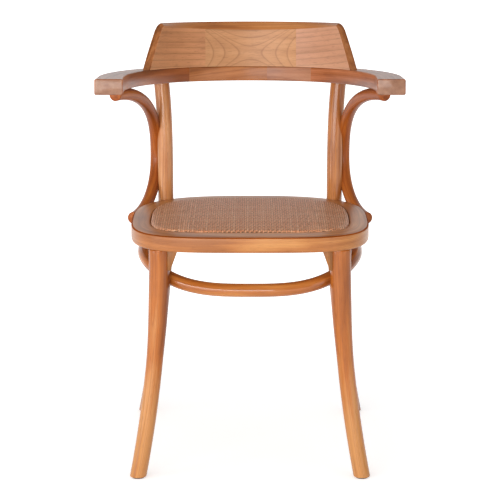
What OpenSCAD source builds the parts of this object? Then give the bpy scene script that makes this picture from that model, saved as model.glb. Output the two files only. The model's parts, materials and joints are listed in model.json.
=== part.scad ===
// Bistro armchair of bent and sawn hardwood with a woven rattan seat.
// Sizes are in millimetres. The chair stands on z = 0 and faces -Y.
// The origin is the middle of its outer box on the floor.
// Places are worked out around the middle of the seat ring and moved once at the end.

/* [Seat] */
// Width of the seat ring
seat_w = 445; // [410:1:480]
// Depth of the seat ring
seat_d = 433; // [400:1:470]
// Height of the ring's top face above the floor
seat_top = 456; // [430:1:480]
// Thickness of the seat ring
seat_t = 30; // [28:0.5:36]
// Width of the ring in front of the weave and behind it
ring_w = 43; // [38:1:50]
// Width of the ring beside the weave
side_w = 35.5; // [34:0.5:44]
// Width of the ledge under the seat board
ledge_w = 12; // [10:1:16]
// Fullness of the ring's front half, where 2 is an oval and more is squarer
front_fullness = 3.8; // [3:0.1:4]
// Fullness of the ring's rear half
rear_fullness = 2.7; // [2.4:0.1:3]
// Rounding of the ring's outer edges
ring_edge = 4; // [2:0.5:6]
// Thickness of the plywood seat board
board_t = 8; // [6:0.5:10]
// Thickness of the woven panel at its edge
weave_t = 8; // [6:0.5:9]
// Height of the woven panel's edge above the ring's top face
weave_rise = 3; // [1:0.5:4]
// Crown of the woven panel at its middle
weave_crown = 6; // [3:0.5:12]

/* [Front legs] */
// Diameter of a front leg under the seat
front_leg_d = 38; // [34:0.5:40]
// Diameter of a front leg at the floor
front_foot_d = 31; // [26:0.5:32]
// Distance of the leg's axis from the ring's outer face
front_leg_inset = 23.5; // [21:0.5:25]
// Place of the front legs around the ring, in degrees of its outline
front_leg_turn = 47.5; // [43:0.5:50]
// Sideways flare of a front leg
front_flare_x = 41.5; // [20:0.5:50]
// Forward flare of a front leg
front_flare_y = 33; // [10:0.5:40]

/* [Rear legs] */
// Diameter of the rear leg rod
rear_leg_d = 30.5; // [28:0.5:32]
// Diameter of a rear leg at the floor
rear_foot_d = 28; // [24:0.5:30]
// Distance of the post's axis outside the ring's outer face
post_out = 6; // [5:0.5:9]
// Place of the rear legs around the ring, in degrees of its outline
rear_leg_turn = 49; // [45:0.5:52]
// Sideways flare of a rear leg
rear_flare_x = 47.5; // [20:0.5:55]
// Backward sweep of a rear leg
rear_flare_y = 66; // [30:0.5:80]
// Outward bend of the post under the arm rail
post_splay = 7; // [0:0.5:9]
// Backward lean of the post between seat and arm rail
post_lean = 13; // [8:0.5:18]

/* [Arm rail] */
// Height of the rail's top face above the seat ring, at the middle of the seat
rail_rise = 269; // [240:1:300]
// Backward tilt of the rail and the back board
rail_tilt = 3.6; // [2:0.1:5]
// Width of the rail and the arms
rail_w = 48.3; // [46:0.1:52]
// Thickness of the rail and the arms
rail_t = 28.5; // [26:0.5:34]
// Distance of the rail's rearmost middle line from the middle of the seat
rail_back = 272.4; // [268:0.2:276]
// Radius of the rail's rear bend
rail_r1 = 218.5; // [214:0.5:222]
// Turn of the rear bend on each side
rail_a1 = 51.6; // [48:0.2:54]
// Radius of the shoulder bend
rail_r2 = 337; // [330:1:345]
// Turn at which the shoulder bend ends
rail_a2 = 68.7; // [66:0.2:72]
// Radius of the arm's slow bend
rail_r3 = 502; // [490:1:515]
// Distance of the arms' front ends from the middle of the seat
arm_front = 175; // [150:1:200]
// Extra width of an arm at its front end, on the inner side
arm_wider = 3; // [0:0.5:5]
// Rounding of the rail's long edges
rail_edge = 3; // [1:0.5:5]
// Turn of the glue line between rail and arms
arm_joint_turn = 38; // [30:0.5:39]
// Turn of the glue line near the middle of the rail
mid_joint_turn = 10; // [5:0.5:15]

/* [Back board] */
// Height of the back board above the rail
board_h = 88.5; // [70:0.5:110]
// Thickness of the back board
board_w = 16; // [14:0.5:20]
// Half length of the board's lower edge along its curve
board_half_low = 279.5; // [255:0.5:290]
// Half length of the board's upper edge along its curve
board_half_top = 223.5; // [215:0.5:245]
// Radius of the board's upper corners
board_corner = 14; // [8:1:24]
// Height of the sloping top edge at the middle
bevel_mid = 16; // [8:0.5:20]
// Height of the sloping top edge at the ends
bevel_end = 5; // [4:0.5:16]

/* [Hoop] */
// Diameter of the hoop's rod
hoop_d = 25; // [22:0.2:27]
// Width of the hoop between its middle lines
hoop_w = 400.4; // [385:1:404]
// Distance of the hoop's middle line under the seat ring, at the sides and the rear
hoop_below = 32; // [28:1:50]
// Drop of the hoop at the front
hoop_drop = 47; // [30:1:60]
// Fullness of the hoop's outline
hoop_fullness = 3.1; // [2.9:0.1:3.3]
// Depth that the rods are let into each other
let_in = 1; // [0.5:0.1:1.5]

/* [Arm braces] */
// Diameter of the brace rod
brace_d = 23.4; // [20:0.2:24]
// Direction from the post to the brace, in degrees from sideways to rearwards
brace_side = 44; // [38:1:56]
// Height of the brace's rearmost point above the seat ring
brace_rise = 84; // [72:1:102]
// Distance of the brace's upper end behind the middle of the seat
brace_top_y = -10; // [-30:1:10]
// Distance of the brace's upper end from the arm's middle line, outwards
brace_top_x = -2.5; // [-6:0.5:1]
// Height of the brace's lower end above the ring's underside
brace_low_up = 10; // [8:0.5:17]
// Distance of the brace's lower end behind the middle of the seat
brace_low_y = 73; // [65:1:95]
// Depth that the brace's lower end is let against the seat ring
brace_low_in = 4; // [2:0.5:5]

/* [Knee blocks] */
// Height of a knee block
block_h = 40; // [30:1:45]
// Reach of a knee block from the leg's axis
block_reach = 35; // [30:0.5:40]
// Thickness of a knee block from front to rear
block_t = 24; // [18:1:28]

/* [Fasteners] */
// Diameter of the leg tenons
tenon_d = 20; // [16:0.5:22]
// Length of the leg tenons
tenon_l = 19; // [14:1:20]
// Diameter of the rail dowels
rail_dowel_d = 10; // [8:0.5:11]
// Length of the rail dowels
rail_dowel_l = 50; // [40:1:60]
// Diameter of the back board dowels
board_dowel_d = 8; // [6:0.5:9]
// Length of the back board dowels
board_dowel_l = 36; // [28:1:42]
// Diameter of the leg bolts
bolt_d = 6; // [5:0.5:6]
// Diameter of the wood screws
screw_d = 4.2; // [3.5:0.1:4.5]
// Diameter of the screw heads
screw_head_d = 8.4; // [7.5:0.1:9]
// Diameter of the foot glides
glide_d = 22; // [18:0.5:23]
// Thickness of the foot glides
glide_t = 2.5; // [1.5:0.5:4]
// Radial clearance of pins, tenons and screws
pin_gap = 0.15; // [0.1:0.05:0.3]
// Clearance of rods that lie against each other
rod_gap = 0.25; // [0.2:0.05:0.3]
// Clearance around the seat board and the woven panel
panel_gap = 0.8; // [0.5:0.1:1.5]

/* [Hidden] */

honey = "#c98a5a";
rattan = "#a97b5e";
plywood = "#d9b88c";
steel = "#b8b8b4";
nylon = "#4a4038";

// Counts of faces
outline_steps = 72;
rod_sides = 18;
hoop_steps = 72;
leg_steps = 14;
brace_steps = 14;
arm_steps = 26;
board_steps = 36;
eps = 0.01;
$fn = 48;

// Seat levels
seat_under = seat_top - seat_t;
rebate_depth = board_t + weave_t - weave_rise;
ledge_top = seat_top - rebate_depth;
ledge_mid = (seat_under + ledge_top) / 2;

// Levels that follow the seat
hoop_z = seat_under - hoop_below;
brace_mid_z = seat_top + brace_rise;
brace_low_z = seat_under + brace_low_up;

// Radii
front_leg_r = front_leg_d / 2;
front_foot_r = front_foot_d / 2;
rear_leg_r = rear_leg_d / 2;
rear_foot_r = rear_foot_d / 2;
hoop_r = hoop_d / 2;
brace_r = brace_d / 2;
screw_r = screw_d / 2;
screw_head_r = screw_head_d / 2;
bolt_r = bolt_d / 2;
rail_under = seat_top + rail_rise - rail_t;

// A point of a rounded square outline, squarer as its fullness grows
function side_of(v) = v < 0 ? -1 : 1;
function power(v, p) = pow(abs(v), p);
function full_xy(t, a, b, n) =
    [a * side_of(cos(t)) * power(cos(t), 2 / n), b * side_of(sin(t)) * power(sin(t), 2 / n)];
function unit(v) = v / norm(v);

// The seat ring's outline, its outward normal, and a point at a depth inside it
function ring_fullness(t) = sin(t) < 0 ? front_fullness : rear_fullness;
function ring_xy(t) = full_xy(t, seat_w / 2, seat_d / 2, ring_fullness(t));
function ring_out(t) =
    let (p = 2 - 2 / ring_fullness(t))
    unit([side_of(cos(t)) * power(cos(t), p) / seat_w, side_of(sin(t)) * power(sin(t), p) / seat_d]);
function ring_at(t, depth) = ring_xy(t) - ring_out(t) * depth;
function ring_turn(i) = 360 * i / outline_steps;
function ring_width(t) = side_w + (ring_w - side_w) * pow(ring_out(t).y, 2);
function ring_outline(depth) = [for (i = [0 : outline_steps - 1]) ring_at(ring_turn(i), depth)];
function panel_outline() = [for (i = [0 : outline_steps - 1])
    ring_at(ring_turn(i), ring_width(ring_turn(i)) + panel_gap)];
// Half width of the ring's rear half at a distance behind its middle
function ring_half_w(y) = seat_w / 2 * pow(1 - power(y * 2 / seat_d, rear_fullness), 1 / rear_fullness);

// Front legs are straight at the top, then thinner and flared towards the floor
front_turn = -front_leg_turn;
front_top = ring_at(front_turn, front_leg_inset);
front_in = -ring_out(front_turn);
front_bend_z = seat_under - 20;
front_power = 1.9;
taper_low = 0.473 * seat_under;
taper_high = 0.827 * seat_under;
function front_share(z) = z < front_bend_z ? pow((front_bend_z - z) / front_bend_z, front_power) : 0;
function front_xy(z) = front_top + front_share(z) * [front_flare_x, -front_flare_y];
function taper(z) = let (s = max(0, min(1, (z - taper_low) / (taper_high - taper_low)))) s * s * (3 - 2 * s);
function front_r(z) = front_foot_r + (front_leg_r - front_foot_r) * taper(z);

// Rear legs are straight through the ring, sweep out below it and lean back above it
rear_out = ring_out(rear_leg_turn);
rear_base = ring_at(rear_leg_turn, -post_out);
post_top_y = rear_base.y + post_lean;
function rail_plane(y) = rail_under - y * tan(rail_tilt);
post_top_z = rail_plane(post_top_y);
rear_power_x = 1.8;
rear_power_y = 1.7;
post_power_x = 3.3;
post_power_y = 1.2;
function low_share(z) = max(0, (seat_under - z) / seat_under);
function high_share(z) = max(0, (z - seat_top) / (post_top_z - seat_top));
function rear_xy(z) = rear_base
    + [rear_flare_x * pow(low_share(z), rear_power_x) + post_splay * pow(high_share(z), post_power_x),
       rear_flare_y * pow(low_share(z), rear_power_y) + post_lean * pow(high_share(z), post_power_y)];
function rear_r(z) = rear_leg_r + (rear_foot_r - rear_leg_r) * low_share(z);

// Middle line of the arm rail, turned from its rearmost point, in the tilted plane of the rail
function turned(a) = [sin(a), cos(a)];
rail_c1 = [0, rail_back - rail_r1];
rail_c2 = rail_c1 + (rail_r1 - rail_r2) * turned(rail_a1);
rail_c3 = rail_c2 + (rail_r2 - rail_r3) * turned(rail_a2);
arm_x = rail_c3.x + rail_r3;
arm_bend_y = rail_c3.y;
function rail_xy(a, out) =
    a < rail_a1 ? rail_c1 + (rail_r1 + out) * turned(a) :
    a < rail_a2 ? rail_c2 + (rail_r2 + out) * turned(a) : rail_c3 + (rail_r3 + out) * turned(a);
// Turn reached after a length along the middle line
radian = 180 / PI;
rail_l1 = rail_r1 * rail_a1 / radian;
function rail_turn(l) = l < rail_l1 ? l / rail_r1 * radian : rail_a1 + (l - rail_l1) / rail_r2 * radian;
post_top = [rear_base.x + post_splay, post_top_y / cos(rail_tilt)];

// Outer box, from the feet at the front to the rail at the rear
foot_round = 1.5;
front_edge = min(front_xy(glide_t + foot_round).y - front_r(glide_t + foot_round), -seat_d / 2);
rear_edge = (rail_back + rail_w / 2 - rail_edge) * cos(rail_tilt)
    + (rail_t - rail_edge) * sin(rail_tilt) + rail_edge;
middle_y = (front_edge + rear_edge) / 2;

// Hoop outline, worked out so that it lies against the legs
hoop_front_z = hoop_z - hoop_drop / 3;
hoop_touch_f = front_xy(hoop_front_z) + front_in * (front_r(hoop_front_z) + hoop_r - let_in);
hoop_touch_r = rear_xy(hoop_z) - rear_out * (rear_r(hoop_z) + hoop_r - let_in);
function hoop_half(p) = abs(p.y) / pow(1 - power(p.x * 2 / hoop_w, hoop_fullness), 1 / hoop_fullness);
hoop_half_f = hoop_half(hoop_touch_f);
hoop_half_r = hoop_half(hoop_touch_r);
function hoop_point(t) = let (p = full_xy(t, hoop_w / 2, sin(t) < 0 ? hoop_half_f : hoop_half_r, hoop_fullness))
    [p.x, p.y, hoop_z - (sin(t) < 0 ? hoop_drop * pow(sin(t), 2) : 0)];
function hoop_turn_at(p, half) = atan2(power(p.y / half, hoop_fullness / 2) * side_of(p.y),
    power(p.x * 2 / hoop_w, hoop_fullness / 2));
hoop_turn_f = hoop_turn_at(hoop_touch_f, hoop_half_f);
hoop_turn_r = hoop_turn_at(hoop_touch_r, hoop_half_r);

// Arm brace: a C of two quarter ovals, from the arm to the post to the ring's side
brace_top_in = 0.5;
brace_mid = rear_xy(brace_mid_z) + (rear_leg_r + brace_r - let_in) * [cos(brace_side), sin(brace_side)];
brace_top_z = rail_plane(brace_top_y) - brace_r + brace_top_in;
brace_top_at = arm_x + brace_top_x;
brace_low_at = ring_half_w(brace_low_y) + brace_r - brace_low_in;
brace_upper_power = 1.37;
brace_lower_power = 1.13;
brace_rear_power = 0.93;
function brace_upper(a) = [
    brace_mid.x + (brace_top_at - brace_mid.x) * pow(1 - cos(a), brace_upper_power),
    brace_mid.y - (brace_mid.y - brace_top_y) * pow(1 - cos(a), brace_rear_power),
    brace_mid_z + (brace_top_z - brace_mid_z) * sin(a)];
function brace_lower(a) = [
    brace_mid.x + (brace_low_at - brace_mid.x) * pow(1 - cos(a), brace_lower_power),
    brace_mid.y - (brace_mid.y - brace_low_y) * (1 - cos(a)),
    brace_mid_z - (brace_mid_z - brace_low_z) * sin(a)];
function brace_point(a) = a < 0 ? brace_lower(-a) : brace_upper(a);

// Rings of points for rods, and the skin that joins them
function rod_ring(c, dir, side, r) =
    let (e1 = unit(side - (side * dir) * dir), e2 = cross(dir, e1))
    [for (j = [0 : rod_sides - 1]) let (w = 360 * j / rod_sides) c + r * (cos(w) * e1 + sin(w) * e2)];
function level_ring(c, r, z) =
    [for (j = [0 : rod_sides - 1]) let (w = 360 * j / rod_sides) [c.x + r * cos(w), c.y + r * sin(w), z]];

module skin(rings, closed = false, strips = false) {
    m = len(rings[0]);
    k = len(rings);
    last = (k - 1) * m;
    flat = [[for (j = [0 : m - 1]) j], [for (j = [m - 1 : -1 : 0]) last + j]];
    // Ends that are not flat are closed by pairs of triangles from side to side
    bent = [for (j = [0 : m / 2 - 2]) let (b = m - 1 - j)
        each [[j, j + 1, b - 1], [j, b - 1, b], [last + b - 1, last + j + 1, last + j],
            [last + b, last + b - 1, last + j]]];
    walls = [for (i = [0 : closed ? k - 1 : k - 2], j = [0 : m - 1])
        let (a = i * m + j, b = i * m + (j + 1) % m, c = (i + 1) % k * m + (j + 1) % m,
            d = (i + 1) % k * m + j)
        each [[a, c, b], [a, d, c]]];
    polyhedron(points = [for (r = rings) each r],
        faces = concat(walls, closed ? [] : strips ? bent : flat));
}

// Moves into the tilted plane of the rail, with z = 0 on its underside
module in_rail_plane() {
    translate([0, 0, rail_under]) rotate([-rail_tilt, 0, 0]) children();
}

// Puts a piece where the outer box is centred, mirrored for the left side
module placed(side = 1) {
    translate([0, -middle_y, 0]) scale_x(side) children();
}
module scale_x(side) {
    if (side < 0) mirror([1, 0, 0]) children();
    else children();
}

// Turns +Z towards a flat direction
module towards(p, z, dir) {
    translate([p.x, p.y, z]) rotate([0, 0, atan2(dir.y, dir.x)]) rotate([0, 90, 0]) children();
}

// Wood screw along +Z with its flat head at z = 0, and the hole it sits in
head_h = 2.6;
module screw(length) {
    cylinder(h = head_h, r1 = screw_head_r, r2 = screw_r);
    cylinder(h = length, r = screw_r);
}
module screw_hole(length, access = 12) {
    translate([0, 0, -access]) cylinder(h = access, r = screw_head_r + pin_gap);
    cylinder(h = head_h, r1 = screw_head_r + pin_gap, r2 = screw_r + pin_gap);
    cylinder(h = length + 1, r = screw_r + pin_gap);
}

// Places of the screws
hoop_screw_l = hoop_d - 2 + 13;
head_sink = 2;
module at_hoop_screws() {
    for (side = [1, -1]) scale_x(side) {
        for (p = [[hoop_touch_f, hoop_point(hoop_turn_f).z, -front_in], [hoop_touch_r, hoop_z, rear_out]])
            towards(p[0] - p[2] * (hoop_r - head_sink), p[1], p[2]) children();
    }
}
brace_arm_turn = 84;
brace_seat_turn = -72;
brace_screw_l = brace_d - head_sink + 14;
module at_brace_arm_screw() {
    c = brace_point(brace_arm_turn);
    translate([c.x, c.y, c.z - brace_r + head_sink]) rotate([-rail_tilt, 0, 0]) children();
}
module at_brace_post_screw() {
    dir = [-cos(brace_side), -sin(brace_side)];
    towards(brace_mid - dir * (brace_r - head_sink), brace_mid_z, dir) children();
}
module at_brace_seat_screw() {
    c = brace_point(brace_seat_turn);
    t = atan2(power(c.y * 2 / seat_d, rear_fullness / 2), power(c.x * 2 / seat_w, rear_fullness / 2));
    dir = -ring_out(t);
    towards([c.x, c.y] - dir * (brace_r - head_sink), max(c.z, seat_under + 7), dir) children();
}
block_screw_l = 30;
block_screw_z = seat_under - block_h * 0.3;
module at_block_screw() {
    towards([front_top.x - block_reach + block_h * 0.3 * block_slope + head_sink, front_top.y],
        block_screw_z, [1, 0]) children();
}
board_screw_l = ledge_top - seat_under + board_t - 2;
board_screw_turns = [0, 72, 108, 180, 252, 288];
module at_board_screws() {
    for (t = board_screw_turns) {
        p = ring_at(t, ring_width(t) + ledge_w / 2);
        translate([p.x, p.y, seat_under]) children();
    }
}

// Leg bolts run along the ring's normal through the post and the ring
bolt_head_r = 7;
bolt_head_h = 3.5;
washer_r = 7;
washer_t = 1.2;
nut_r = 5.7;
nut_h = 5;
spot_face = 1.5;
bolt_sink = 4;
bolt_from = -(rear_leg_r - bolt_sink);
bolt_seat = post_out + ring_width(rear_leg_turn) + ledge_w - spot_face;
module at_leg_bolt() {
    towards(rear_base, ledge_mid, -rear_out) children();
}
module leg_bolt_hole() {
    translate([0, 0, bolt_from - 20]) cylinder(h = 20, r = bolt_head_r + pin_gap);
    translate([0, 0, bolt_from - eps]) cylinder(h = bolt_seat - bolt_from + 1, r = bolt_r + pin_gap);
    translate([0, 0, bolt_seat]) cylinder(h = 20, r = washer_r + 0.5);
}

// Straight round pin, centred on its length
module dowel(d, length) {
    translate([0, 0, -length / 2]) cylinder(h = length, d = d);
}
module at_rail_dowels(turns) {
    for (a = turns, out = [-1, 1]) {
        p = rail_xy(abs(a), out * rail_w / 5);
        in_rail_plane() translate([side_of(a) * p.x, p.y, rail_t / 2])
            rotate([0, 0, -a]) rotate([0, 90, 0]) children();
    }
}
board_dowel_lengths = [-195, -70, 70, 195];
board_out = -rail_w / 2 + board_w / 2;
module at_board_dowels() {
    for (l = board_dowel_lengths) {
        p = rail_xy(rail_turn(abs(l)), board_out);
        in_rail_plane() translate([side_of(l) * p.x, p.y, rail_t]) children();
    }
}

// Seat ring: one bent frame with a ledge inside, notched for the posts
module seat_ring() {
    corner = [for (a = [0 : 30 : 90]) a];
    function section(w) = concat(
        [for (a = corner) [ring_edge * (1 - cos(a)), seat_under + ring_edge * (1 - sin(a))]],
        [[w + ledge_w, seat_under], [w + ledge_w, ledge_top], [w, ledge_top], [w, seat_top]],
        [for (a = corner) [ring_edge * (1 - sin(a)), seat_top - ring_edge * (1 - cos(a))]]);
    color(honey) placed() difference() {
        skin([for (i = [0 : outline_steps - 1]) let (t = ring_turn(i)) [for (s = section(ring_width(t)))
            let (p = ring_at(t, s[0])) [p.x, p.y, s[1]]]], closed = true);
        for (side = [1, -1]) scale_x(side) {
            translate([front_top.x, front_top.y, seat_under - 1])
                cylinder(h = tenon_l + 2, r = tenon_d / 2 + pin_gap);
            translate([rear_base.x, rear_base.y, seat_under - 1])
                cylinder(h = seat_t + 2, r = rear_leg_r + pin_gap);
            at_leg_bolt() leg_bolt_hole();
            at_brace_seat_screw() screw_hole(brace_screw_l);
        }
        at_board_screws() screw_hole(board_screw_l);
    }
}

// Plywood board that rests on the ledge
module seat_board() {
    color(plywood) placed() difference() {
        translate([0, 0, ledge_top]) linear_extrude(board_t) polygon(panel_outline());
        at_board_screws() screw_hole(board_screw_l);
    }
}

// Crowned woven panel on the board
module rattan_panel() {
    low = ledge_top + board_t;
    edge = low + weave_t;
    shape = panel_outline();
    levels = [[1, low], [1, edge - 4], [0.995, edge - 2], [0.985, edge - 0.7]];
    dome = [for (s = [0.965, 0.93, 0.88, 0.78, 0.64, 0.48, 0.3, 0.12])
        [s, edge + weave_crown * (1 - pow(s, 2.6))]];
    color(rattan) placed()
        skin([for (l = concat(levels, dome)) [for (p = shape) [p.x * l[0], p.y * l[0], l[1]]]]);
}

// Sabre front leg with a rounded shoulder and a round tenon
shoulder = 3;
module front_leg_body(grow = 0, from = glide_t, to = seat_under) {
    plain = [for (i = [1 : leg_steps - 1]) from + (to - from) * i / leg_steps];
    zs = concat([from, from + foot_round], plain, [to - shoulder, to - shoulder / 3, to]);
    drop = concat([foot_round, 0], [for (z = plain) 0], [0, shoulder / 3, shoulder]);
    skin([for (i = [0 : len(zs) - 1])
        level_ring(front_xy(zs[i]), front_r(zs[i]) + (grow > 0 ? grow : -drop[i]), zs[i])]);
}
module front_leg(side) {
    color(honey) placed(side) difference() {
        union() {
            front_leg_body();
            translate([front_top.x, front_top.y, seat_under - 1]) cylinder(h = tenon_l + 1, d = tenon_d);
        }
        at_hoop_screws() screw_hole(hoop_screw_l);
        at_block_screw() screw_hole(block_screw_l);
        at_glide_pin(front_xy(glide_t)) glide_pin_hole();
    }
}

// Rear leg and back post, one bent rod with a tenon in the rail
module rear_leg_body(grow = 0, from = glide_t, to = post_top_z, steps = leg_steps) {
    span = to - from;
    zs = [for (i = [0 : steps]) from + span * i / steps];
    skin([for (z = zs) level_ring(rear_xy(z), rear_r(z) + grow, z)]);
}
module rear_leg(side) {
    low_zs = concat([glide_t, glide_t + foot_round], [for (i = [1 : leg_steps - 1]) seat_under * i / leg_steps]);
    post_steps = 8;
    post_zs = [for (i = [0 : post_steps - 1]) seat_top + (post_top_z - seat_top) * i / post_steps];
    zs = concat(low_zs, [seat_under], post_zs);
    body = [for (i = [0 : len(zs) - 1])
        level_ring(rear_xy(zs[i]), rear_r(zs[i]) - (i == 0 ? foot_round : 0), zs[i])];
    top = [for (p = level_ring(rear_xy(post_top_z), rear_leg_r, post_top_z)) [p.x, p.y, rail_plane(p.y)]];
    color(honey) placed(side) difference() {
        union() {
            skin(concat(body, [top]));
            in_rail_plane() translate([post_top.x, post_top.y, -1]) cylinder(h = tenon_l + 1, d = tenon_d);
        }
        at_leg_bolt() leg_bolt_hole();
        at_hoop_screws() screw_hole(hoop_screw_l);
        at_brace_post_screw() screw_hole(brace_screw_l);
        at_glide_pin(rear_xy(glide_t)) glide_pin_hole();
    }
}

// Knee block glued and screwed between leg and ring
block_tip = 1.5;
block_slope = (block_reach - front_leg_r - block_tip) / block_h;
block_side = sqrt(pow(front_leg_r, 2) - pow(block_t / 2, 2));
module knee_block(side) {
    outer = front_top.x - block_side;
    color(honey) placed(side) difference() {
        translate([0, front_top.y + block_t / 2, 0]) rotate([90, 0, 0]) linear_extrude(block_t)
            polygon([[outer, seat_under], [front_top.x - block_reach, seat_under],
                [front_top.x - front_leg_r - block_tip, seat_under - block_h], [outer, seat_under - block_h]]);
        skin([for (z = [seat_under - block_h - 5, front_bend_z, seat_under + 5])
            level_ring(front_xy(z), front_r(z) + rod_gap, z)]);
        at_block_screw() screw_hole(block_screw_l);
    }
}

// Bentwood hoop inside the legs, let in a little where it meets them
module hoop() {
    near = hoop_r + 8;
    turns = [for (i = [0 : hoop_steps - 1]) 360 * i / hoop_steps];
    color(honey) placed() difference() {
        skin([for (t = turns)
            let (dir = unit(hoop_point(t + 1) - hoop_point(t - 1)))
            rod_ring(hoop_point(t), dir, [0, 0, 1], hoop_r)], closed = true);
        for (side = [1, -1]) scale_x(side) {
            skin([for (k = [-2 : 2]) let (z = hoop_front_z + near * k / 2)
                level_ring(front_xy(z), front_r(z) + rod_gap, z)]);
            rear_leg_body(rod_gap, hoop_z - near, hoop_z + near, 4);
        }
        at_hoop_screws() screw_hole(hoop_screw_l);
    }
}

// C-shaped bent brace with square-cut ends
module arm_brace(side) {
    turns = [for (i = [-brace_steps : brace_steps]) 90 * i / brace_steps];
    near = brace_d * 2.5;
    reach = rail_w * 1.25;
    color(honey) placed(side) difference() {
        skin([for (a = turns)
            let (dir = unit(brace_point(min(90, a + 1)) - brace_point(max(-90, a - 1))))
            rod_ring(brace_point(a), dir, [1, 0, 0], brace_r)]);
        in_rail_plane() translate([arm_x - reach, brace_top_y - reach, 0]) cube([2 * reach, 2 * reach, 2 * rail_t]);
        translate([0, 0, seat_under - seat_t]) linear_extrude(seat_t * 3)
            polygon(ring_outline(-rod_gap));
        rear_leg_body(rod_gap, brace_mid_z - near, brace_mid_z + near, 6);
        at_brace_arm_screw() screw_hole(brace_screw_l);
        at_brace_post_screw() screw_hole(brace_screw_l);
        at_brace_seat_screw() screw_hole(brace_screw_l);
    }
}

// Section of the rail, standing on z = 0 with its middle on x = 0
section_half = rail_w / 2 - rail_edge;
section_corners = [[section_half, rail_t - rail_edge, 0], [-section_half, rail_t - rail_edge, 90],
    [-section_half, rail_edge, 180], [section_half, rail_edge, 270]];
rail_section = [for (c = section_corners, a = [0 : 30 : 90])
    [c[0] + rail_edge * cos(c[2] + a), c[1] + rail_edge * sin(c[2] + a)]];
module rail_holes() {
    at_rail_dowels([-arm_joint_turn, mid_joint_turn, arm_joint_turn])
        dowel(rail_dowel_d + 2 * pin_gap, rail_dowel_l + 1);
    at_board_dowels() dowel(board_dowel_d + 2 * pin_gap, board_dowel_l + 1);
    for (side = [1, -1]) scale_x(side) {
        in_rail_plane() translate([post_top.x, post_top.y, -1])
            cylinder(h = tenon_l + 2, r = tenon_d / 2 + pin_gap);
        at_brace_arm_screw() screw_hole(brace_screw_l);
    }
}

// Flat arm: the shoulder and slow bends of the rail, then straight to the front
module arm(side) {
    turns = [for (i = [0 : arm_steps]) arm_joint_turn + (90 - arm_joint_turn) * i / arm_steps];
    color(honey) placed(side) difference() {
        in_rail_plane() skin(concat(
            [for (a = turns) [for (s = rail_section) concat(rail_xy(a, s.x), s.y)]],
            [[for (s = rail_section) [arm_x + s.x - (s.x < 0 ? arm_wider : 0), -arm_front, s.y]]]));
        rail_holes();
    }
}
module back_rail(from, to) {
    color(honey) placed() difference() {
        in_rail_plane() translate(rail_c1) rotate([0, 0, 90 - to])
            rotate_extrude(angle = to - from, $fn = 120) translate([rail_r1, 0]) polygon(rail_section);
        rail_holes();
    }
}

// Back board: bent to the rail's inner edge, with slanted ends and a sloping top
module back_board() {
    levels = [0, 0.3, 0.6, 0.8, 0.88, 0.94, 0.98, 1];
    last = len(levels) - 1;
    function half_at(v) =
        let (h = v * board_h, over = max(0, h - (board_h - board_corner)))
        board_half_low + (board_half_top - board_half_low) * v
            - (board_corner - sqrt(max(0, pow(board_corner, 2) - over * over)));
    function bevel_at(u) = bevel_mid + (bevel_end - bevel_mid) * u * u;
    function board_ring(u) = concat(
        [for (v = levels) concat(rail_xy(rail_turn(abs(u) * half_at(v)), board_out + board_w / 2), v * board_h)],
        [for (k = [last : -1 : 0]) let (h = levels[k] * (board_h - bevel_at(u)))
            concat(rail_xy(rail_turn(abs(u) * half_at(h / board_h)), board_out - board_w / 2), h)]);
    function mirrored(r) = [for (p = r) [-p.x, p.y, p.z]];
    color(honey) placed() difference() {
        in_rail_plane() translate([0, 0, rail_t]) skin([for (i = [0 : board_steps])
            let (u = 2 * i / board_steps - 1) u < 0 ? mirrored(board_ring(u)) : board_ring(u)],
            strips = true);
        at_board_dowels() dowel(board_dowel_d + 2 * pin_gap, board_dowel_l + 1);
    }
}

// Dowels, screws, bolts and glides
module rail_dowels() {
    color(plywood) placed() at_rail_dowels([-arm_joint_turn, mid_joint_turn, arm_joint_turn])
        dowel(rail_dowel_d, rail_dowel_l);
}
module board_dowels() {
    color(plywood) placed() at_board_dowels() dowel(board_dowel_d, board_dowel_l);
}
module board_screws() {
    color(steel) placed() at_board_screws() screw(board_screw_l);
}
module leg_bolts() {
    color(steel) placed() for (side = [1, -1]) scale_x(side) at_leg_bolt() {
        translate([0, 0, bolt_from - bolt_head_h]) cylinder(h = bolt_head_h, r = bolt_head_r);
        translate([0, 0, bolt_from - eps]) cylinder(h = bolt_seat + washer_t + nut_h + 1.5 - bolt_from, r = bolt_r);
    }
}
module leg_bolt_washers() {
    color(steel) placed() for (side = [1, -1]) scale_x(side) at_leg_bolt()
        translate([0, 0, bolt_seat]) difference() {
            cylinder(h = washer_t, r = washer_r);
            translate([0, 0, -1]) cylinder(h = washer_t + 2, r = bolt_r + pin_gap);
        }
}
module leg_bolt_nuts() {
    color(steel) placed() for (side = [1, -1]) scale_x(side) at_leg_bolt()
        translate([0, 0, bolt_seat + washer_t]) difference() {
            cylinder(h = nut_h, r = nut_r, $fn = 6);
            translate([0, 0, -1]) cylinder(h = nut_h + 2, r = bolt_r + pin_gap);
        }
}
module hoop_screws() {
    color(steel) placed() at_hoop_screws() screw(hoop_screw_l);
}
module brace_arm_screws() {
    color(steel) placed() for (side = [1, -1]) scale_x(side) at_brace_arm_screw() screw(brace_screw_l);
}
module brace_post_screws() {
    color(steel) placed() for (side = [1, -1]) scale_x(side) at_brace_post_screw() screw(brace_screw_l);
}
module brace_seat_screws() {
    color(steel) placed() for (side = [1, -1]) scale_x(side) at_brace_seat_screw() screw(brace_screw_l);
}
module block_screws() {
    color(steel) placed() for (side = [1, -1]) scale_x(side) at_block_screw() screw(block_screw_l);
}

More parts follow.
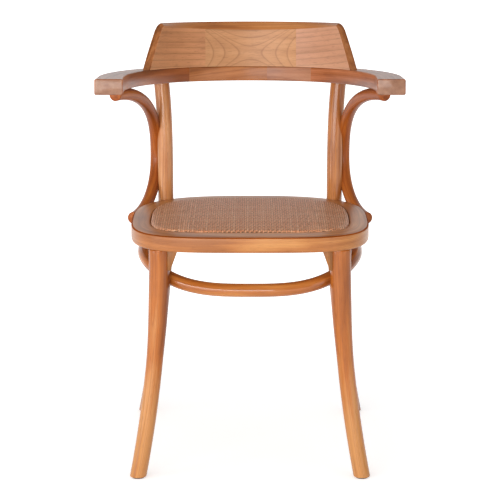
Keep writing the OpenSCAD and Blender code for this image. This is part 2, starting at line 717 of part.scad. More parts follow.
// Nylon glides with a nail up into the foot
glide_pin_r = 1.5;
glide_pin_l = 14;
module at_glide_pin(p) {
    translate([p.x, p.y, 0]) children();
}
module glide_pin_hole() {
    translate([0, 0, -1]) cylinder(h = glide_t + glide_pin_l + 2, r = glide_pin_r + pin_gap);
}
module glides() {
    color(nylon) placed() for (side = [1, -1], p = [front_xy(glide_t), rear_xy(glide_t)])
        scale_x(side) at_glide_pin(p) {
            cylinder(h = glide_t, d = glide_d);
            cylinder(h = glide_t + glide_pin_l, r = glide_pin_r);
        }
}

seat_ring();
seat_board();
rattan_panel();
front_leg(-1);  // front_leg_left
front_leg(1);  // front_leg_right
rear_leg(-1);  // rear_leg_left
rear_leg(1);  // rear_leg_right
knee_block(-1);  // knee_block_left
knee_block(1);  // knee_block_right
hoop();
arm_brace(-1);  // arm_brace_left
arm_brace(1);  // arm_brace_right
arm(-1);  // arm_left
arm(1);  // arm_right
back_rail(-arm_joint_turn, mid_joint_turn);  // back_rail_left
back_rail(mid_joint_turn, arm_joint_turn);  // back_rail_right
back_board();
rail_dowels();
board_dowels();
board_screws();
leg_bolts();
leg_bolt_washers();
leg_bolt_nuts();
hoop_screws();
brace_arm_screws();
brace_post_screws();
brace_seat_screws();
block_screws();
glides();
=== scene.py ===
# %% [markdown]
# Bistro armchair of bent and sawn hardwood with a woven rattan seat.
# The CAD model gives every piece its place. This file gives the pieces their looks: rounder skins,
# wood that follows each bend, a real weave, lacquer, light and a camera.
# All sizes below are millimetres around the middle of the seat, and one function turns them into
# the metres of the shared frame.

# %% Load the fixed frame
import json
import math

import bmesh
import bpy
import numpy as np
from mathutils import Matrix, Vector

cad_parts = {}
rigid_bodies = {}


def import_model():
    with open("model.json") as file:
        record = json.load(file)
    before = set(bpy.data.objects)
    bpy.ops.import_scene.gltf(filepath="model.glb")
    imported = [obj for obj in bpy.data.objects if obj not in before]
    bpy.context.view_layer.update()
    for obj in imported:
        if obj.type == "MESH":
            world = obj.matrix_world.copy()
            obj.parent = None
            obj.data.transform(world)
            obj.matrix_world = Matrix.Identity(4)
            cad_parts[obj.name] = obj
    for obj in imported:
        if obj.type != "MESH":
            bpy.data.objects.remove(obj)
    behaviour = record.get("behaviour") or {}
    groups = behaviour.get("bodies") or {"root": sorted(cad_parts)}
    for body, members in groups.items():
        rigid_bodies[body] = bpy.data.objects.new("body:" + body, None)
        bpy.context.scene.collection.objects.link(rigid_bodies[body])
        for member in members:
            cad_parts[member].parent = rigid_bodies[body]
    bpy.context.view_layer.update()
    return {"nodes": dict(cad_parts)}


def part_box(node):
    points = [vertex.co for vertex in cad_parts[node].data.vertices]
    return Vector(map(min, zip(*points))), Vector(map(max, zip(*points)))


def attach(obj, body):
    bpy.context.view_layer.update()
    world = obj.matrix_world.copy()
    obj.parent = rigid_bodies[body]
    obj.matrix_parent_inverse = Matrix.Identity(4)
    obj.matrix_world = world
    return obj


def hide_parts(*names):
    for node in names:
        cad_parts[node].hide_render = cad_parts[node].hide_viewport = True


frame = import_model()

nodes = frame["nodes"]

# %% [markdown]
# Where the seat is. The ring is as deep in front of its middle as behind it, so the middle of its
# CAD box is the point that all sizes are measured from.

# %% Millimetres around the seat to metres in the frame
ring_low, ring_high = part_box("seat_ring")
seat_middle = Vector(((ring_low.x + ring_high.x) / 2, (ring_low.y + ring_high.y) / 2, 0))


def place(x, y, z):
    """A point in millimetres around the seat's middle, as metres in the frame"""
    return seat_middle + Vector((x, y, z)) * 0.001


print("seat middle:", tuple(round(c, 5) for c in seat_middle))

# %% [markdown]
# A skin over rings of points is the one form behind most of the chair: rods, rails and frames are
# all one section carried along a bent line. A bevelled curve could draw the round rods, but not the
# tapered legs or a frame that changes its width, so every piece is extruded ring by ring. A circle
# is made first and moved onto the first ring. Each next ring is extruded from the last, and every
# point remembers its number around the ring, so that it finds its place. A closed frame is bridged
# back to its first ring.

# %% Skin over rings


def skin(rings, closed=False):
    """Joins rings of points, all with the same count, into one closed surface"""
    bm = bmesh.new()
    number = bm.verts.layers.int.new("number")
    bmesh.ops.create_circle(bm, cap_ends=False, radius=1, segments=len(rings[0]))
    for i, vert in enumerate(bm.verts):
        vert[number] = i
        vert.co = rings[0][i]
    first = edges = list(bm.edges)
    for ring in rings[1:]:
        made = bmesh.ops.extrude_edge_only(bm, edges=edges)["geom"]
        edges = [g for g in made if isinstance(g, bmesh.types.BMEdge)]
        for vert in (g for g in made if isinstance(g, bmesh.types.BMVert)):
            vert.co = ring[vert[number]]
    if closed:
        bmesh.ops.bridge_loops(bm, edges=first + edges)
    else:
        for loop in (first, edges):
            bmesh.ops.contextual_create(bm, geom=loop)
    bmesh.ops.recalc_face_normals(bm, faces=bm.faces)
    return bm


def soften(bm, width, segments=2, sharper_than=40, where=lambda edge: True):
    """Rounds edges that are sharper than an angle in degrees, by a width in millimetres"""
    sharp = [e for e in bm.edges if len(e.link_faces) == 2
             and e.calc_face_angle(0) > math.radians(sharper_than) and where(e)]
    bmesh.ops.bevel(bm, geom=sharp, offset=width * 0.001, segments=segments, profile=0.5,
                    affect="EDGES", material=-1, clamp_overlap=True)
    return bm


print("skin and soften are ready")

# %% [markdown]
# A finished mesh becomes an object that rides on the chair and stands for its CAD node. Legs, braces,
# arms and blocks come in pairs, so one function makes the left one and the right one. Each is built
# on its own side, because a mirrored copy would show the same wood twice.

# %% Pieces and pairs
SIDES = {"left": -1, "right": 1}


def piece(name, bm, stands_for):
    """Makes an object of a bmesh, at the origin, riding on the chair in place of CAD nodes"""
    mesh = bpy.data.meshes.new(name)
    bm.to_mesh(mesh)
    bm.free()
    obj = bpy.data.objects.new(name, mesh)
    bpy.context.scene.collection.objects.link(obj)
    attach(obj, "root")
    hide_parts(*stands_for)
    return obj


def pair(look, node, build):
    """The left and the right one of a wooden piece. `build` gives the bmesh for a side"""
    return {name: piece(f"{look}_{name}", build(side), [f"{node}_{name}"])
            for name, side in SIDES.items()}


print("piece and pair are ready")

# %% [markdown]
# Screws and bolts stay CAD nodes, sunk below the surface, so the wood over their heads is drilled.
# Holes could be modelled into the rings of each skin, but they would have to meet its points. The
# bmesh operators can't cut one shape out of another either, so a Boolean modifier does it and is
# turned into mesh at once.

# %% Drilling


def drill(obj, holes):
    """Cuts round holes, each given as a start, a direction, two radii and a depth, in metres"""
    bm = bmesh.new()
    for start, direction, radius, end_radius, depth in holes:
        turn = direction.to_track_quat("Z", "X").to_matrix().to_4x4()
        middle = Matrix.Translation(start + direction.normalized() * (depth / 2))
        bmesh.ops.create_cone(bm, cap_ends=True, segments=32, radius1=radius, radius2=end_radius,
                              depth=depth, matrix=middle @ turn)
    mesh = bpy.data.meshes.new("cutter")
    bm.to_mesh(mesh)
    bm.free()
    cutter = bpy.data.objects.new("cutter", mesh)
    bpy.context.scene.collection.objects.link(cutter)
    cut = obj.modifiers.new("holes", "BOOLEAN")
    cut.operation = "DIFFERENCE"
    cut.solver = "EXACT"
    cut.object = cutter
    settle(obj)
    bpy.data.objects.remove(cutter)


def settle(obj):
    """Turns an object's modifiers into its mesh"""
    graph = bpy.context.evaluated_depsgraph_get()
    done = bpy.data.meshes.new_from_object(obj.evaluated_get(graph))
    old = obj.data
    obj.modifiers.clear()
    obj.data = done
    bpy.data.meshes.remove(old)


print("drill and settle are ready")

# %% [markdown]
# Wood fibres run along each bent rod, not along an axis of the room. A texture in Object coordinates
# would run straight through the bends, so every face corner stores where it lies in the tree: how
# far along the fibres, and where across them. The distance is found by dropping each point onto the
# piece's middle line. Each stave of a piece, told apart by its finish, has a cut: where in the log it
# was sawn, in millimetres, and how far its rings lean along the fibres. So no two pieces show the
# same figure.

# %% Fibres that follow the bends


def follow_grain(obj, line, up, cuts, closed=False):
    """Stores on each face corner its place along and across the fibres, in metres"""
    line = np.array([tuple(p) for p in line])
    if closed:
        line = np.vstack([line, line[:1]])
    start, run = line[:-1], np.diff(line, axis=0)
    length = np.linalg.norm(run, axis=1)
    reached = np.concatenate([[0], np.cumsum(length)])
    mesh = obj.data
    points = np.empty(len(mesh.vertices) * 3)
    mesh.vertices.foreach_get("co", points)
    points = points.reshape(-1, 3)
    # Each point is dropped onto every stretch of the line, and the nearest one is kept
    share = np.einsum("vsk,sk->vs", points[:, None] - start, run) / length ** 2
    share = np.clip(share, 0, 1)
    gap = points[:, None] - (start + share[..., None] * run)
    nearest = np.argmin(np.einsum("vsk,vsk->vs", gap, gap), axis=1)
    rows = np.arange(len(points))
    along = reached[nearest] + share[rows, nearest] * length[nearest]
    tangent = run[nearest] / length[nearest][:, None]
    gap = gap[rows, nearest]
    # What is left over is parted into sideways and upwards, square to the fibres
    side = np.cross(tangent, np.array(up, float))
    side /= np.linalg.norm(side, axis=1)[:, None]
    rise = np.cross(side, tangent)
    along = along + np.einsum("vk,vk->v", gap, tangent)
    across = np.stack([np.einsum("vk,vk->v", gap, side), np.einsum("vk,vk->v", gap, rise)], axis=1)
    corner_vert = np.empty(len(mesh.loops), int)
    mesh.loops.foreach_get("vertex_index", corner_vert)
    corner_along = along[corner_vert]
    # On a closed frame, a face over the seam keeps its corners together
    if closed:
        starts = np.array([f.loop_start for f in mesh.polygons])
        totals = np.array([f.loop_total for f in mesh.polygons])
        anchor = np.repeat(corner_along[starts], totals)
        whole = reached[-1]
        corner_along = corner_along - whole * np.round((corner_along - anchor) / whole)
    stave = np.repeat([f.material_index for f in mesh.polygons],
                      [f.loop_total for f in mesh.polygons])
    cuts = np.array([(*cut, 0)[:4] for cut in cuts]) * (0.001, 0.001, 0.001, 1)
    grain = np.column_stack([corner_along, across[corner_vert]]) + cuts[stave, :3]
    grain[:, 2] -= corner_along * cuts[stave, 3]
    stored = mesh.attributes.new("grain", "FLOAT_VECTOR", "CORNER")
    stored.data.foreach_set("vector", grain.astype(np.float32).ravel())


def smooth(obj, sharper_than=35):
    """Smooth shading, with edges sharper than an angle kept crisp"""
    obj.data.shade_smooth()
    obj.data.set_sharp_from_angle(angle=math.radians(sharper_than))


print("follow_grain and smooth are ready")

# %% [markdown]
# Colours are written as the sRGB hex values that a picture shows. Shaders want linear light, so one
# function turns them. One more function adds any node with its settings and links.

# %% Colour and nodes


def linear(code):
    """sRGB hex to a linear colour with alpha"""
    parts = [int(code[i:i + 2], 16) / 255 for i in (1, 3, 5)]
    return tuple(p / 12.92 if p <= 0.04045 else ((p + 0.055) / 1.055) ** 2.4 for p in parts) + (1,)


def add(tree, kind, inputs, **settings):
    """Adds a node, sets it up, and fills its inputs with values or with other nodes' outputs"""
    made = tree.nodes.new("ShaderNode" + kind)
    for name, value in settings.items():
        setattr(made, name, value)
    for key, value in inputs.items():
        if isinstance(value, bpy.types.NodeSocket):
            tree.links.new(value, made.inputs[key])
        else:
            made.inputs[key].default_value = value
    return made


def ramp(tree, fac, stops):
    """A colour ramp with its stops given as place and hex colour"""
    made = add(tree, "ValToRGB", {"Fac": fac})
    scale = made.color_ramp
    while len(scale.elements) < len(stops):
        scale.elements.new(0.5)
    for element, (at, code) in zip(scale.elements, stops):
        element.position = at
        element.color = linear(code)
    return made.outputs["Color"]


def new_material(name):
    """An empty node material and its shader, already linked to the output"""
    material = bpy.data.materials.new(name)
    material.use_nodes = True
    tree = material.node_tree
    tree.nodes.clear()
    shader = add(tree, "BsdfPrincipled", {})
    add(tree, "OutputMaterial", {"Surface": shader.outputs["BSDF"]})
    return material, tree, shader


print("honey is", [round(c, 3) for c in linear("#c98a5a")])

# %% [markdown]
# Growth rings. Ash has strong ones, about 2 to 3 mm apart, each with a row of open pores in its
# spring wood, where the stain draws a dark line. A wave texture could draw bands, but not what a saw
# opens. So the rings are counted from the middle of the log: a board sawn close to it shows arches,
# and one sawn far from it shows lines. The log isn't straight, so its middle wanders. On the back
# board the rings bend both ways into an hourglass.

# %% Growth rings
RING = 0.0026
HOURGLASS_CROWDING, HOURGLASS_COUNT = 0.67, 50.5
RING_SHADES = [(0.0, "#ffffff"), (0.12, "#8c8c8c"), (0.35, "#404040"), (0.8, "#000000"),
               (0.93, "#707070"), (1.0, "#ffffff")]


def growth_rings(tree, grain, wander, saddle, heart):
    """How dark the rings are. `wander` is how far the log's middle strays, in metres, and `saddle`
    bends the rings into an hourglass, per metre, with its middle at the radius `heart`"""
    along, side, rise = add(tree, "SeparateXYZ", {"Vector": grain}).outputs
    drift = add(tree, "Mapping", {"Vector": grain, "Scale": (2.2, 9, 9)}).outputs["Vector"]
    drift = add(tree, "TexNoise", {"Vector": drift, "Scale": 1.0, "Detail": 2.0}).outputs["Fac"]
    flat = add(tree, "CombineXYZ", {"X": side, "Y": rise}).outputs["Vector"]
    radius = add(tree, "VectorMath", {0: flat}, operation="LENGTH").outputs["Value"]
    radius = add(tree, "Math", {0: drift, 1: wander, 2: radius}, operation="MULTIPLY_ADD").outputs[0]
    bend = add(tree, "Math", {0: along, 1: along}, operation="MULTIPLY").outputs[0]
    radius = add(tree, "Math", {0: bend, 1: -saddle, 2: radius}, operation="MULTIPLY_ADD").outputs[0]
    count = add(tree, "Math", {0: radius, 1: 1 / RING}, operation="MULTIPLY").outputs[0]
    if heart:
        # Rings lie closer near the hourglass's middle, and the middle falls between two of them
        past = add(tree, "Math", {0: count, 1: heart / RING}, operation="SUBTRACT").outputs[0]
        size = add(tree, "Math", {0: past}, operation="ABSOLUTE").outputs[0]
        size = add(tree, "Math", {0: size, 1: HOURGLASS_CROWDING}, operation="POWER").outputs[0]
        sign = add(tree, "Math", {0: past}, operation="SIGN").outputs[0]
        count = add(tree, "Math", {0: size, 1: sign, 2: HOURGLASS_COUNT},
                    operation="MULTIPLY_ADD").outputs[0]
    year = add(tree, "Math", {0: count, 1: 1.0}, operation="FRACT").outputs[0]
    return ramp(tree, year, RING_SHADES)


print("growth rings are", RING * 1000, "mm apart")

# %% [markdown]
# The stain. It doesn't take evenly: there are soft streaks along the fibres, 5 to 15 mm wide, and
# clouds the size of a hand. Two noises, drawn out along the fibres, are added up to one tone, which
# a ramp of three browns then colours. The feet are painted a little paler than the legs above them,
# as painted light from the white floor, and the upper legs darker, as painted shade under the seat.

# %% Stain
STREAKS_SHARE, CLOUDS_SHARE = 0.9, 0.75
FOOT_FADE_LOW, FOOT_FADE_HIGH = 0.12, 0.36


def stain_tone(tree, grain, clouding, paler_low):
    """Tone of the stain, about 0.5 on the whole, and the streaks that are in it"""
    broad = add(tree, "Mapping", {"Vector": grain, "Scale": (5, 90, 90)}).outputs["Vector"]
    streaks = add(tree, "TexNoise", {"Vector": broad, "Scale": 1.0, "Detail": 3.0, "Roughness": 0.55})
    streaks = streaks.outputs["Fac"]
    cloudy = add(tree, "Mapping", {"Vector": grain, "Scale": (7, 16, 16)}).outputs["Vector"]
    clouds = add(tree, "TexNoise", {"Vector": cloudy, "Scale": 1.0, "Detail": 2.0}).outputs["Fac"]
    # Both noises lie around 0.5, so half of their shares is taken off to keep the tone in the middle
    level = 0.5 - (STREAKS_SHARE + CLOUDS_SHARE) / 2 * clouding
    tone = add(tree, "Math", {0: streaks, 1: STREAKS_SHARE * clouding, 2: level},
               operation="MULTIPLY_ADD").outputs[0]
    tone = add(tree, "Math", {0: clouds, 1: CLOUDS_SHARE * clouding, 2: tone},
               operation="MULTIPLY_ADD").outputs[0]
    # Painted light and shade: the feet are painted paler, as the white floor lights them, and the legs
    # under the seat darker, as the seat shades them
    if paler_low:
        where = add(tree, "TexCoord", {}).outputs["Object"]
        height = add(tree, "SeparateXYZ", {"Vector": where}).outputs["Z"]
        fade = add(tree, "MapRange", {"Value": height, "From Min": FOOT_FADE_LOW,
                                      "From Max": FOOT_FADE_HIGH, "To Min": -paler_low,
                                      "To Max": paler_low / 2}, interpolation_type="SMOOTHSTEP")
        tone = add(tree, "Math", {0: tone, 1: fade.outputs[0]}, operation="ADD").outputs[0]
    return tone, streaks


print("streaks and clouds are ready")

# %% [markdown]
# Ash, steamed, bent and stained honey brown under a satin lacquer. The stain sinks into the open
# pores and draws short dark dashes along the fibres, and it darkens each growth ring. The lacquer
# lies over all of it as a thin clear coat, so the eye gets a soft white sheen on faces that it sees
# at a low angle. Painted colours would be simpler, but only this order of layers, wood, rings, pores
# and lacquer, holds up from every side.

# %% Stained ash
PORE_BROWN = linear("#5a2c14")
RING_DEPTH, PORE_DEPTH = 0.38, 0.4


def stained_ash(name, pale, middle, deep, contrast=1.0, wander=0.012, saddle=0.0, heart=0.0,
                gloss=0.35, coat=0.55, coat_blur=0.12, haze=0.12, clouding=1.0, paler_low=0.0):
    """Stained and lacquered ash in three browns. `contrast` is how strongly rings and pores show,
    `gloss` is the wood's own roughness, `coat`, `coat_blur` and `haze` are the lacquer's mirror, its
    softness and its dull sheen, `clouding` is how unevenly the stain took, and `paler_low` is how
    much paler a leg's foot is painted, as painted light from the white floor, with the upper leg
    painted darker as painted shade under the seat"""
    material, tree, shader = new_material(name)
    grain = add(tree, "Attribute", {}, attribute_name="grain").outputs["Vector"]
    rings = growth_rings(tree, grain, wander, saddle, heart)
    tone, streaks = stain_tone(tree, grain, clouding, paler_low)
    body = ramp(tree, tone, [(0.28, pale), (0.5, middle), (0.78, deep)])
    ring_dark = add(tree, "Math", {0: rings, 1: RING_DEPTH * contrast}, operation="MULTIPLY").outputs[0]
    lined = add(tree, "Mix", {0: ring_dark, 6: body, 7: linear(deep)}, data_type="RGBA").outputs[2]
    # Open pores are dashes about 0.5 mm wide and up to 8 mm long
    dashes = add(tree, "Mapping", {"Vector": grain, "Scale": (60, 900, 900)}).outputs["Vector"]
    pores = add(tree, "TexNoise", {"Vector": dashes, "Scale": 1.0, "Detail": 3.0, "Roughness": 0.6})
    pore_dark = add(tree, "MapRange", {"Value": pores.outputs["Fac"], "From Min": 0.56,
                                       "From Max": 0.78, "To Max": PORE_DEPTH * contrast}).outputs[0]
    stained = add(tree, "Mix", {0: pore_dark, 6: lined, 7: PORE_BROWN}, data_type="RGBA").outputs[2]
    rough = add(tree, "Math", {0: streaks, 1: 0.12, 2: gloss}, operation="MULTIPLY_ADD").outputs[0]
    relief = add(tree, "Math", {0: ring_dark, 1: pore_dark}, operation="ADD").outputs[0]
    bump = add(tree, "Bump", {"Height": relief, "Strength": 0.3, "Distance": -0.0003})
    tree.links.new(stained, shader.inputs["Base Color"])
    tree.links.new(rough, shader.inputs["Roughness"])
    tree.links.new(bump.outputs["Normal"], shader.inputs["Normal"])
    shader.inputs["IOR"].default_value = 1.48
    shader.inputs["Specular IOR Level"].default_value = haze
    shader.inputs["Coat Weight"].default_value = coat
    shader.inputs["Coat Roughness"].default_value = coat_blur
    return material


print("stained_ash is ready")

# %% [markdown]
# The finishes. The chair is glued up from many lengths of ash, and each took the stain in its own
# way: the photograph shows a yellower left post, redder arms, a pinker right half of the rail, and a
# pale back board. Bent rods are lacquered to a higher gloss than sawn pieces. One brown for all would
# look like plastic, so each piece gets its own three browns. A few browns are painted shade: the
# ring's rounded top edge and the board's planed band are darker for it, and the knee blocks partly.

# %% Finishes of the wood
honey_ash = stained_ash("honey_stained_ash", "#cc8240", "#b46628", "#7e3e12", coat=0.8, coat_blur=0.08)
left_post_ash = stained_ash("honey_stained_ash_left_post", "#d49660", "#be7a46", "#864a22", 1.3)
right_post_ash = stained_ash("honey_stained_ash_right_post", "#d28c50", "#b8723a", "#7c401a", 1.3)
# The legs' feet are painted paler and their tops darker: painted light from the white floor and painted
# shade under the seat
leg_ash = stained_ash("honey_stained_ash_leg", "#cc8c50", "#b96822", "#84400e", clouding=0.75,
                      paler_low=0.2)
brace_ash = stained_ash("dark_stained_ash_brace", "#bc6c2c", "#a25420", "#6c3210", coat=0.2,
                        coat_blur=0.2)
SAWN = {"coat": 0.4, "coat_blur": 0.3}
ring_ash = stained_ash("honey_stained_ash_ring", "#d09052", "#ba7640", "#8e522a", 1.2, 0.0015, **SAWN)
# Painted shade: the ring's rounded top edge gets darker, duller browns because it faces the dim room above
painted_shade_edge_ash = stained_ash("painted_shade_ash_edge", "#b05c28", "#9a4e20", "#743810", coat=0.05,
                       haze=0.0)
left_arm_ash = stained_ash("reddish_stained_ash_left_arm", "#b87042", "#9e582c", "#6a3618",
                           coat=0.5, coat_blur=0.25)
right_arm_ash = stained_ash("reddish_stained_ash_right_arm", "#b87048", "#9e5a32", "#6c381e",
                            coat=0.38, coat_blur=0.25)
# The knee blocks' darker browns are partly their own wood and partly painted shade: they sit back behind
# the legs, under the ring
block_ash = stained_ash("shaded_ash_block", "#b87c40", "#9c6430", "#6e421c", **SAWN)
rail_ash = stained_ash("stained_ash_rail_left", "#c07e4e", "#aa693a", "#7a4526", **SAWN)
pink_ash = stained_ash("stained_ash_rail_right", "#b8805e", "#a87050", "#7e4c36", **SAWN)
end_ash = stained_ash("end_grain_ash", "#ac846a", "#9a6e54", "#744c38", 0.8, coat=0.3, haze=0.2,
                      clouding=0.6)
BOARD_LACQUER = {"gloss": 0.45, "coat": 0.15, "coat_blur": 0.35, "haze": 0.45, "clouding": 0.5}
board_ash = stained_ash("flat_sawn_ash_board", "#cf9b6c", "#c48c5c", "#8e5a36", 1.4, 0.0012,
                        saddle=1.67, heart=0.0921, **BOARD_LACQUER)
orange_stave = stained_ash("quarter_sawn_ash_left_stave", "#d69a6a", "#cc8e60", "#94603a", 1.5, 0.002,
                           **BOARD_LACQUER)
pink_stave = stained_ash("quarter_sawn_ash_right_stave", "#d2a07e", "#c69070", "#986c4e", 1.4, 0.002,
                         **BOARD_LACQUER)
# Painted shade: the planed band looks up, away from the low lamps, so it gets darker browns than the staves
painted_shade_bevel_ash = stained_ash("painted_shade_ash_bevel", "#cc8a52", "#c07a44", "#8a4c28", coat=0.2)
print("wood finishes:", len([m for m in bpy.data.materials if "ash" in m.name]))

# %% [markdown]
# The seat ring is one length of ash, steamed and bent into a rounded square. Its outline is squarer
# in front than behind. A square with bevelled corners would have straight sides, which a bent lath
# hasn't, so the outline is a superellipse. Moved inwards, it bounds the weave too, so it is kept as
# functions: a point of the outline, the direction that faces out of it, and the ring's width there.

# %% Seat ring outline
SEAT_W, SEAT_D = 445, 433
SEAT_TOP, SEAT_T = 456, 30
SEAT_UNDER = SEAT_TOP - SEAT_T
FRONT_FULLNESS, REAR_FULLNESS = 3.8, 2.7
RING_W, SIDE_W, LEDGE_W, LEDGE_TOP = 43, 35.5, 12, 443
SEAT_SEAM, SEAT_STATIONS = math.radians(62), 200


def power(value, exponent):
    return math.copysign(abs(value) ** exponent, value)


def rounded_square(turn, half_x, half_y, fullness):
    """A point of an outline that is an oval at a fullness of 2 and squarer above it"""
    return Vector((half_x * power(math.cos(turn), 2 / fullness),
                   half_y * power(math.sin(turn), 2 / fullness)))


def ring_fullness(turn):
    return FRONT_FULLNESS if math.sin(turn) < 0 else REAR_FULLNESS


def ring_out(turn):
    """Direction out of the seat's outline"""
    p = 2 - 2 / ring_fullness(turn)
    return Vector((power(math.cos(turn), p) / SEAT_W, power(math.sin(turn), p) / SEAT_D)).normalized()


def ring_at(turn, depth):
    """A point at a depth inside the seat's outline"""
    return rounded_square(turn, SEAT_W / 2, SEAT_D / 2, ring_fullness(turn)) - ring_out(turn) * depth


def ring_width(turn):
    return SIDE_W + (RING_W - SIDE_W) * ring_out(turn).y ** 2


def even_turns(point_at, count, start):
    """Turns around a closed outline that lie at equal distances along it"""
    fine = np.linspace(start, start + 2 * math.pi, 2001)
    points = np.array([tuple(point_at(t)) for t in fine])
    reached = np.concatenate([[0], np.cumsum(np.linalg.norm(np.diff(points, axis=0), axis=1))])
    return np.interp(np.arange(count) * reached[-1] / count, reached, fine)


seat_turns = even_turns(lambda t: ring_at(t, 0), SEAT_STATIONS, SEAT_SEAM)
print("seat outline:", len(seat_turns), "stations")

# %% [markdown]
# The section is drawn once: rounded outer edges, a flat underside with the ledge for the seat board,
# and a small arris where the ring meets the weave. Sanding has rolled the outer half of the top a
# little, about 1 mm: the photograph shows less sheen on the strip in front of the weave than beside
# it. The section is carried around the outline as one skin. The rounded top edge looks up and
# forward into the dim room, so its faces get a number of their own and a darker, duller finish:
# painted shade in a thin dark line.

# %% Seat ring
RING_EDGE, RING_ARRIS = 4, 0.8
TOP_ROLL, FLAT_FROM_WEAVE = 1.1, 3
ROLLED_TOP = [(20, 0), (14, 0.2), (8, 0.65)]
# The rounded edge's faces are those whose normals rise by between these two shares
EDGE_FACES = (0.2, 0.985)


def seat_section(width):
    """Depth inside the outline and height, around the ring's section"""
    quarter = [math.radians(a) for a in range(0, 91, 15)]
    points = [(RING_EDGE * (1 - math.cos(a)), SEAT_UNDER + RING_EDGE * (1 - math.sin(a)))
              for a in quarter]
    points += [(width + LEDGE_W, SEAT_UNDER), (width + LEDGE_W, LEDGE_TOP), (width, LEDGE_TOP)]
    points += [(width - RING_ARRIS * (1 - math.cos(a)), SEAT_TOP - RING_ARRIS * (1 - math.sin(a)))
               for a in quarter[::3]]
    points += [(width - FLAT_FROM_WEAVE, SEAT_TOP)]
    points += [(depth, SEAT_TOP - drop) for depth, drop in ROLLED_TOP]
    points += [(RING_EDGE * (1 - math.sin(a)),
                SEAT_TOP - TOP_ROLL - (RING_EDGE - TOP_ROLL) * (1 - math.cos(a))) for a in quarter]
    return points


def seat_ring_at(turn):
    return [place(*ring_at(turn, depth), z) for depth, z in seat_section(ring_width(turn))]


bm = skin([seat_ring_at(t) for t in seat_turns], closed=True)
bm.normal_update()
for face in bm.faces:
    middle = face.calc_center_median()
    high = middle.z * 1000 > SEAT_TOP - RING_EDGE
    outwards = (middle - seat_middle).xy.dot(face.normal.xy) > 0
    rounded = EDGE_FACES[0] < face.normal.z < EDGE_FACES[1]
    face.material_index = int(high and outwards and rounded)
seat_ring = piece("bent_seat_ring", bm, ["seat_ring"])
seat_line = [place(*ring_at(t, ring_width(t) / 2), SEAT_TOP - SEAT_T / 2) for t in seat_turns]
print("seat ring:", len(seat_ring.data.vertices), "points, length of the bent lath in m:",
      round(sum((a - b).length for a, b in zip(seat_line, seat_line[1:])), 3))

# %% [markdown]
# The legs. A front leg is turned from one piece: straight and thick under the seat, then thinner
# and swept out towards the floor, with a rounded shoulder under the ring. A rear leg and its post
# are one bent rod. A stretched cylinder has neither the sweep nor the taper, so both are skins over
# level circles. Their lines are given as how far they bend away across and along the chair, and how
# sharply.

# %% Leg lines
ROD_SIDES = 32
GLIDE_T, FOOT_ROUND = 2.5, 1.5
FRONT_LEG_R, FRONT_FOOT_R = 19, 15.5
REAR_LEG_R, REAR_FOOT_R = 15.25, 14
FRONT_TURN, REAR_TURN = math.radians(-47.5), math.radians(49)
FRONT_INSET, REAR_OUTSIDE = 23.5, 6
FRONT_BEND_Z = SEAT_UNDER - 20
FRONT_SWEEP = ((41.5, 1.9), (-33, 1.9))
TAPER_LOW, TAPER_HIGH = 0.473, 0.827
REAR_SWEEP = ((47.5, 1.8), (66, 1.7))
POST_LEAN = ((7, 3.3), (13, 1.2))
RAIL_UNDER, RAIL_TILT = 696.5, math.radians(3.6)
front_top = ring_at(FRONT_TURN, FRONT_INSET)
front_out = ring_out(FRONT_TURN)
rear_base = ring_at(REAR_TURN, -REAR_OUTSIDE)
rear_out = ring_out(REAR_TURN)


def rail_plane(y):
    """Height of the rail's underside, which is tilted back"""
    return RAIL_UNDER - y * math.tan(RAIL_TILT)


post_top_z = rail_plane(rear_base.y + POST_LEAN[1][0])


def bent(share, bends):
    """How far a line has bent away at a share of its length"""
    return Vector([far * share ** sharpness for far, sharpness in bends])


def front_xy(z):
    return front_top + bent(max(0, (FRONT_BEND_Z - z) / FRONT_BEND_Z), FRONT_SWEEP)


def front_r(z):
    share = min(1, max(0, (z / SEAT_UNDER - TAPER_LOW) / (TAPER_HIGH - TAPER_LOW)))
    return FRONT_FOOT_R + (FRONT_LEG_R - FRONT_FOOT_R) * share * share * (3 - 2 * share)


def rear_xy(z):
    low = max(0, (SEAT_UNDER - z) / SEAT_UNDER)
    high = max(0, (z - SEAT_TOP) / (post_top_z - SEAT_TOP))
    return rear_base + bent(low, REAR_SWEEP) + bent(high, POST_LEAN)


def rear_r(z):
    return REAR_LEG_R + (REAR_FOOT_R - REAR_LEG_R) * max(0, (SEAT_UNDER - z) / SEAT_UNDER)


def level_circle(centre, radius, z, side):
    """A level circle of points, mirrored for the left side of the chair"""
    turns = [2 * math.pi * j / ROD_SIDES for j in range(ROD_SIDES)]
    return [place(side * (centre.x + radius * math.cos(w)), centre.y + radius * math.sin(w), z)
            for w in turns]


print("front foot at", [round(c, 1) for c in front_xy(0)],
      "rear foot at", [round(c, 1) for c in rear_xy(0)])

# %% [markdown]
# The feet and the front legs' shoulders are rounded over, as a lathe and sandpaper leave them. A
# bevel would do it, but circles that shrink along a quarter turn keep the skin's even rings.

# %% Front legs
quarter_turn = [math.radians(a) for a in (0, 22.5, 45, 67.5, 90)]
foot = [(GLIDE_T + FOOT_ROUND * (1 - math.cos(a)), FOOT_ROUND * (1 - math.sin(a)))
        for a in quarter_turn]
SHOULDER, LEG_STATIONS = 3, 60


def front_leg_rings(side):
    heights = np.linspace(GLIDE_T + FOOT_ROUND, SEAT_UNDER - SHOULDER, LEG_STATIONS)
    shank = [(z, 0) for z in heights[1:-1]]
    top = [(SEAT_UNDER - SHOULDER * (1 - math.sin(a)), SHOULDER * (1 - math.cos(a)))
           for a in quarter_turn]
    return [level_circle(front_xy(z), front_r(z) - drop, z, side) for z, drop in foot + shank + top]


front_legs = pair("turned_front_leg", "front_leg", lambda side: skin(front_leg_rings(side)))
print("front legs:", [len(leg.data.vertices) for leg in front_legs.values()], "points")

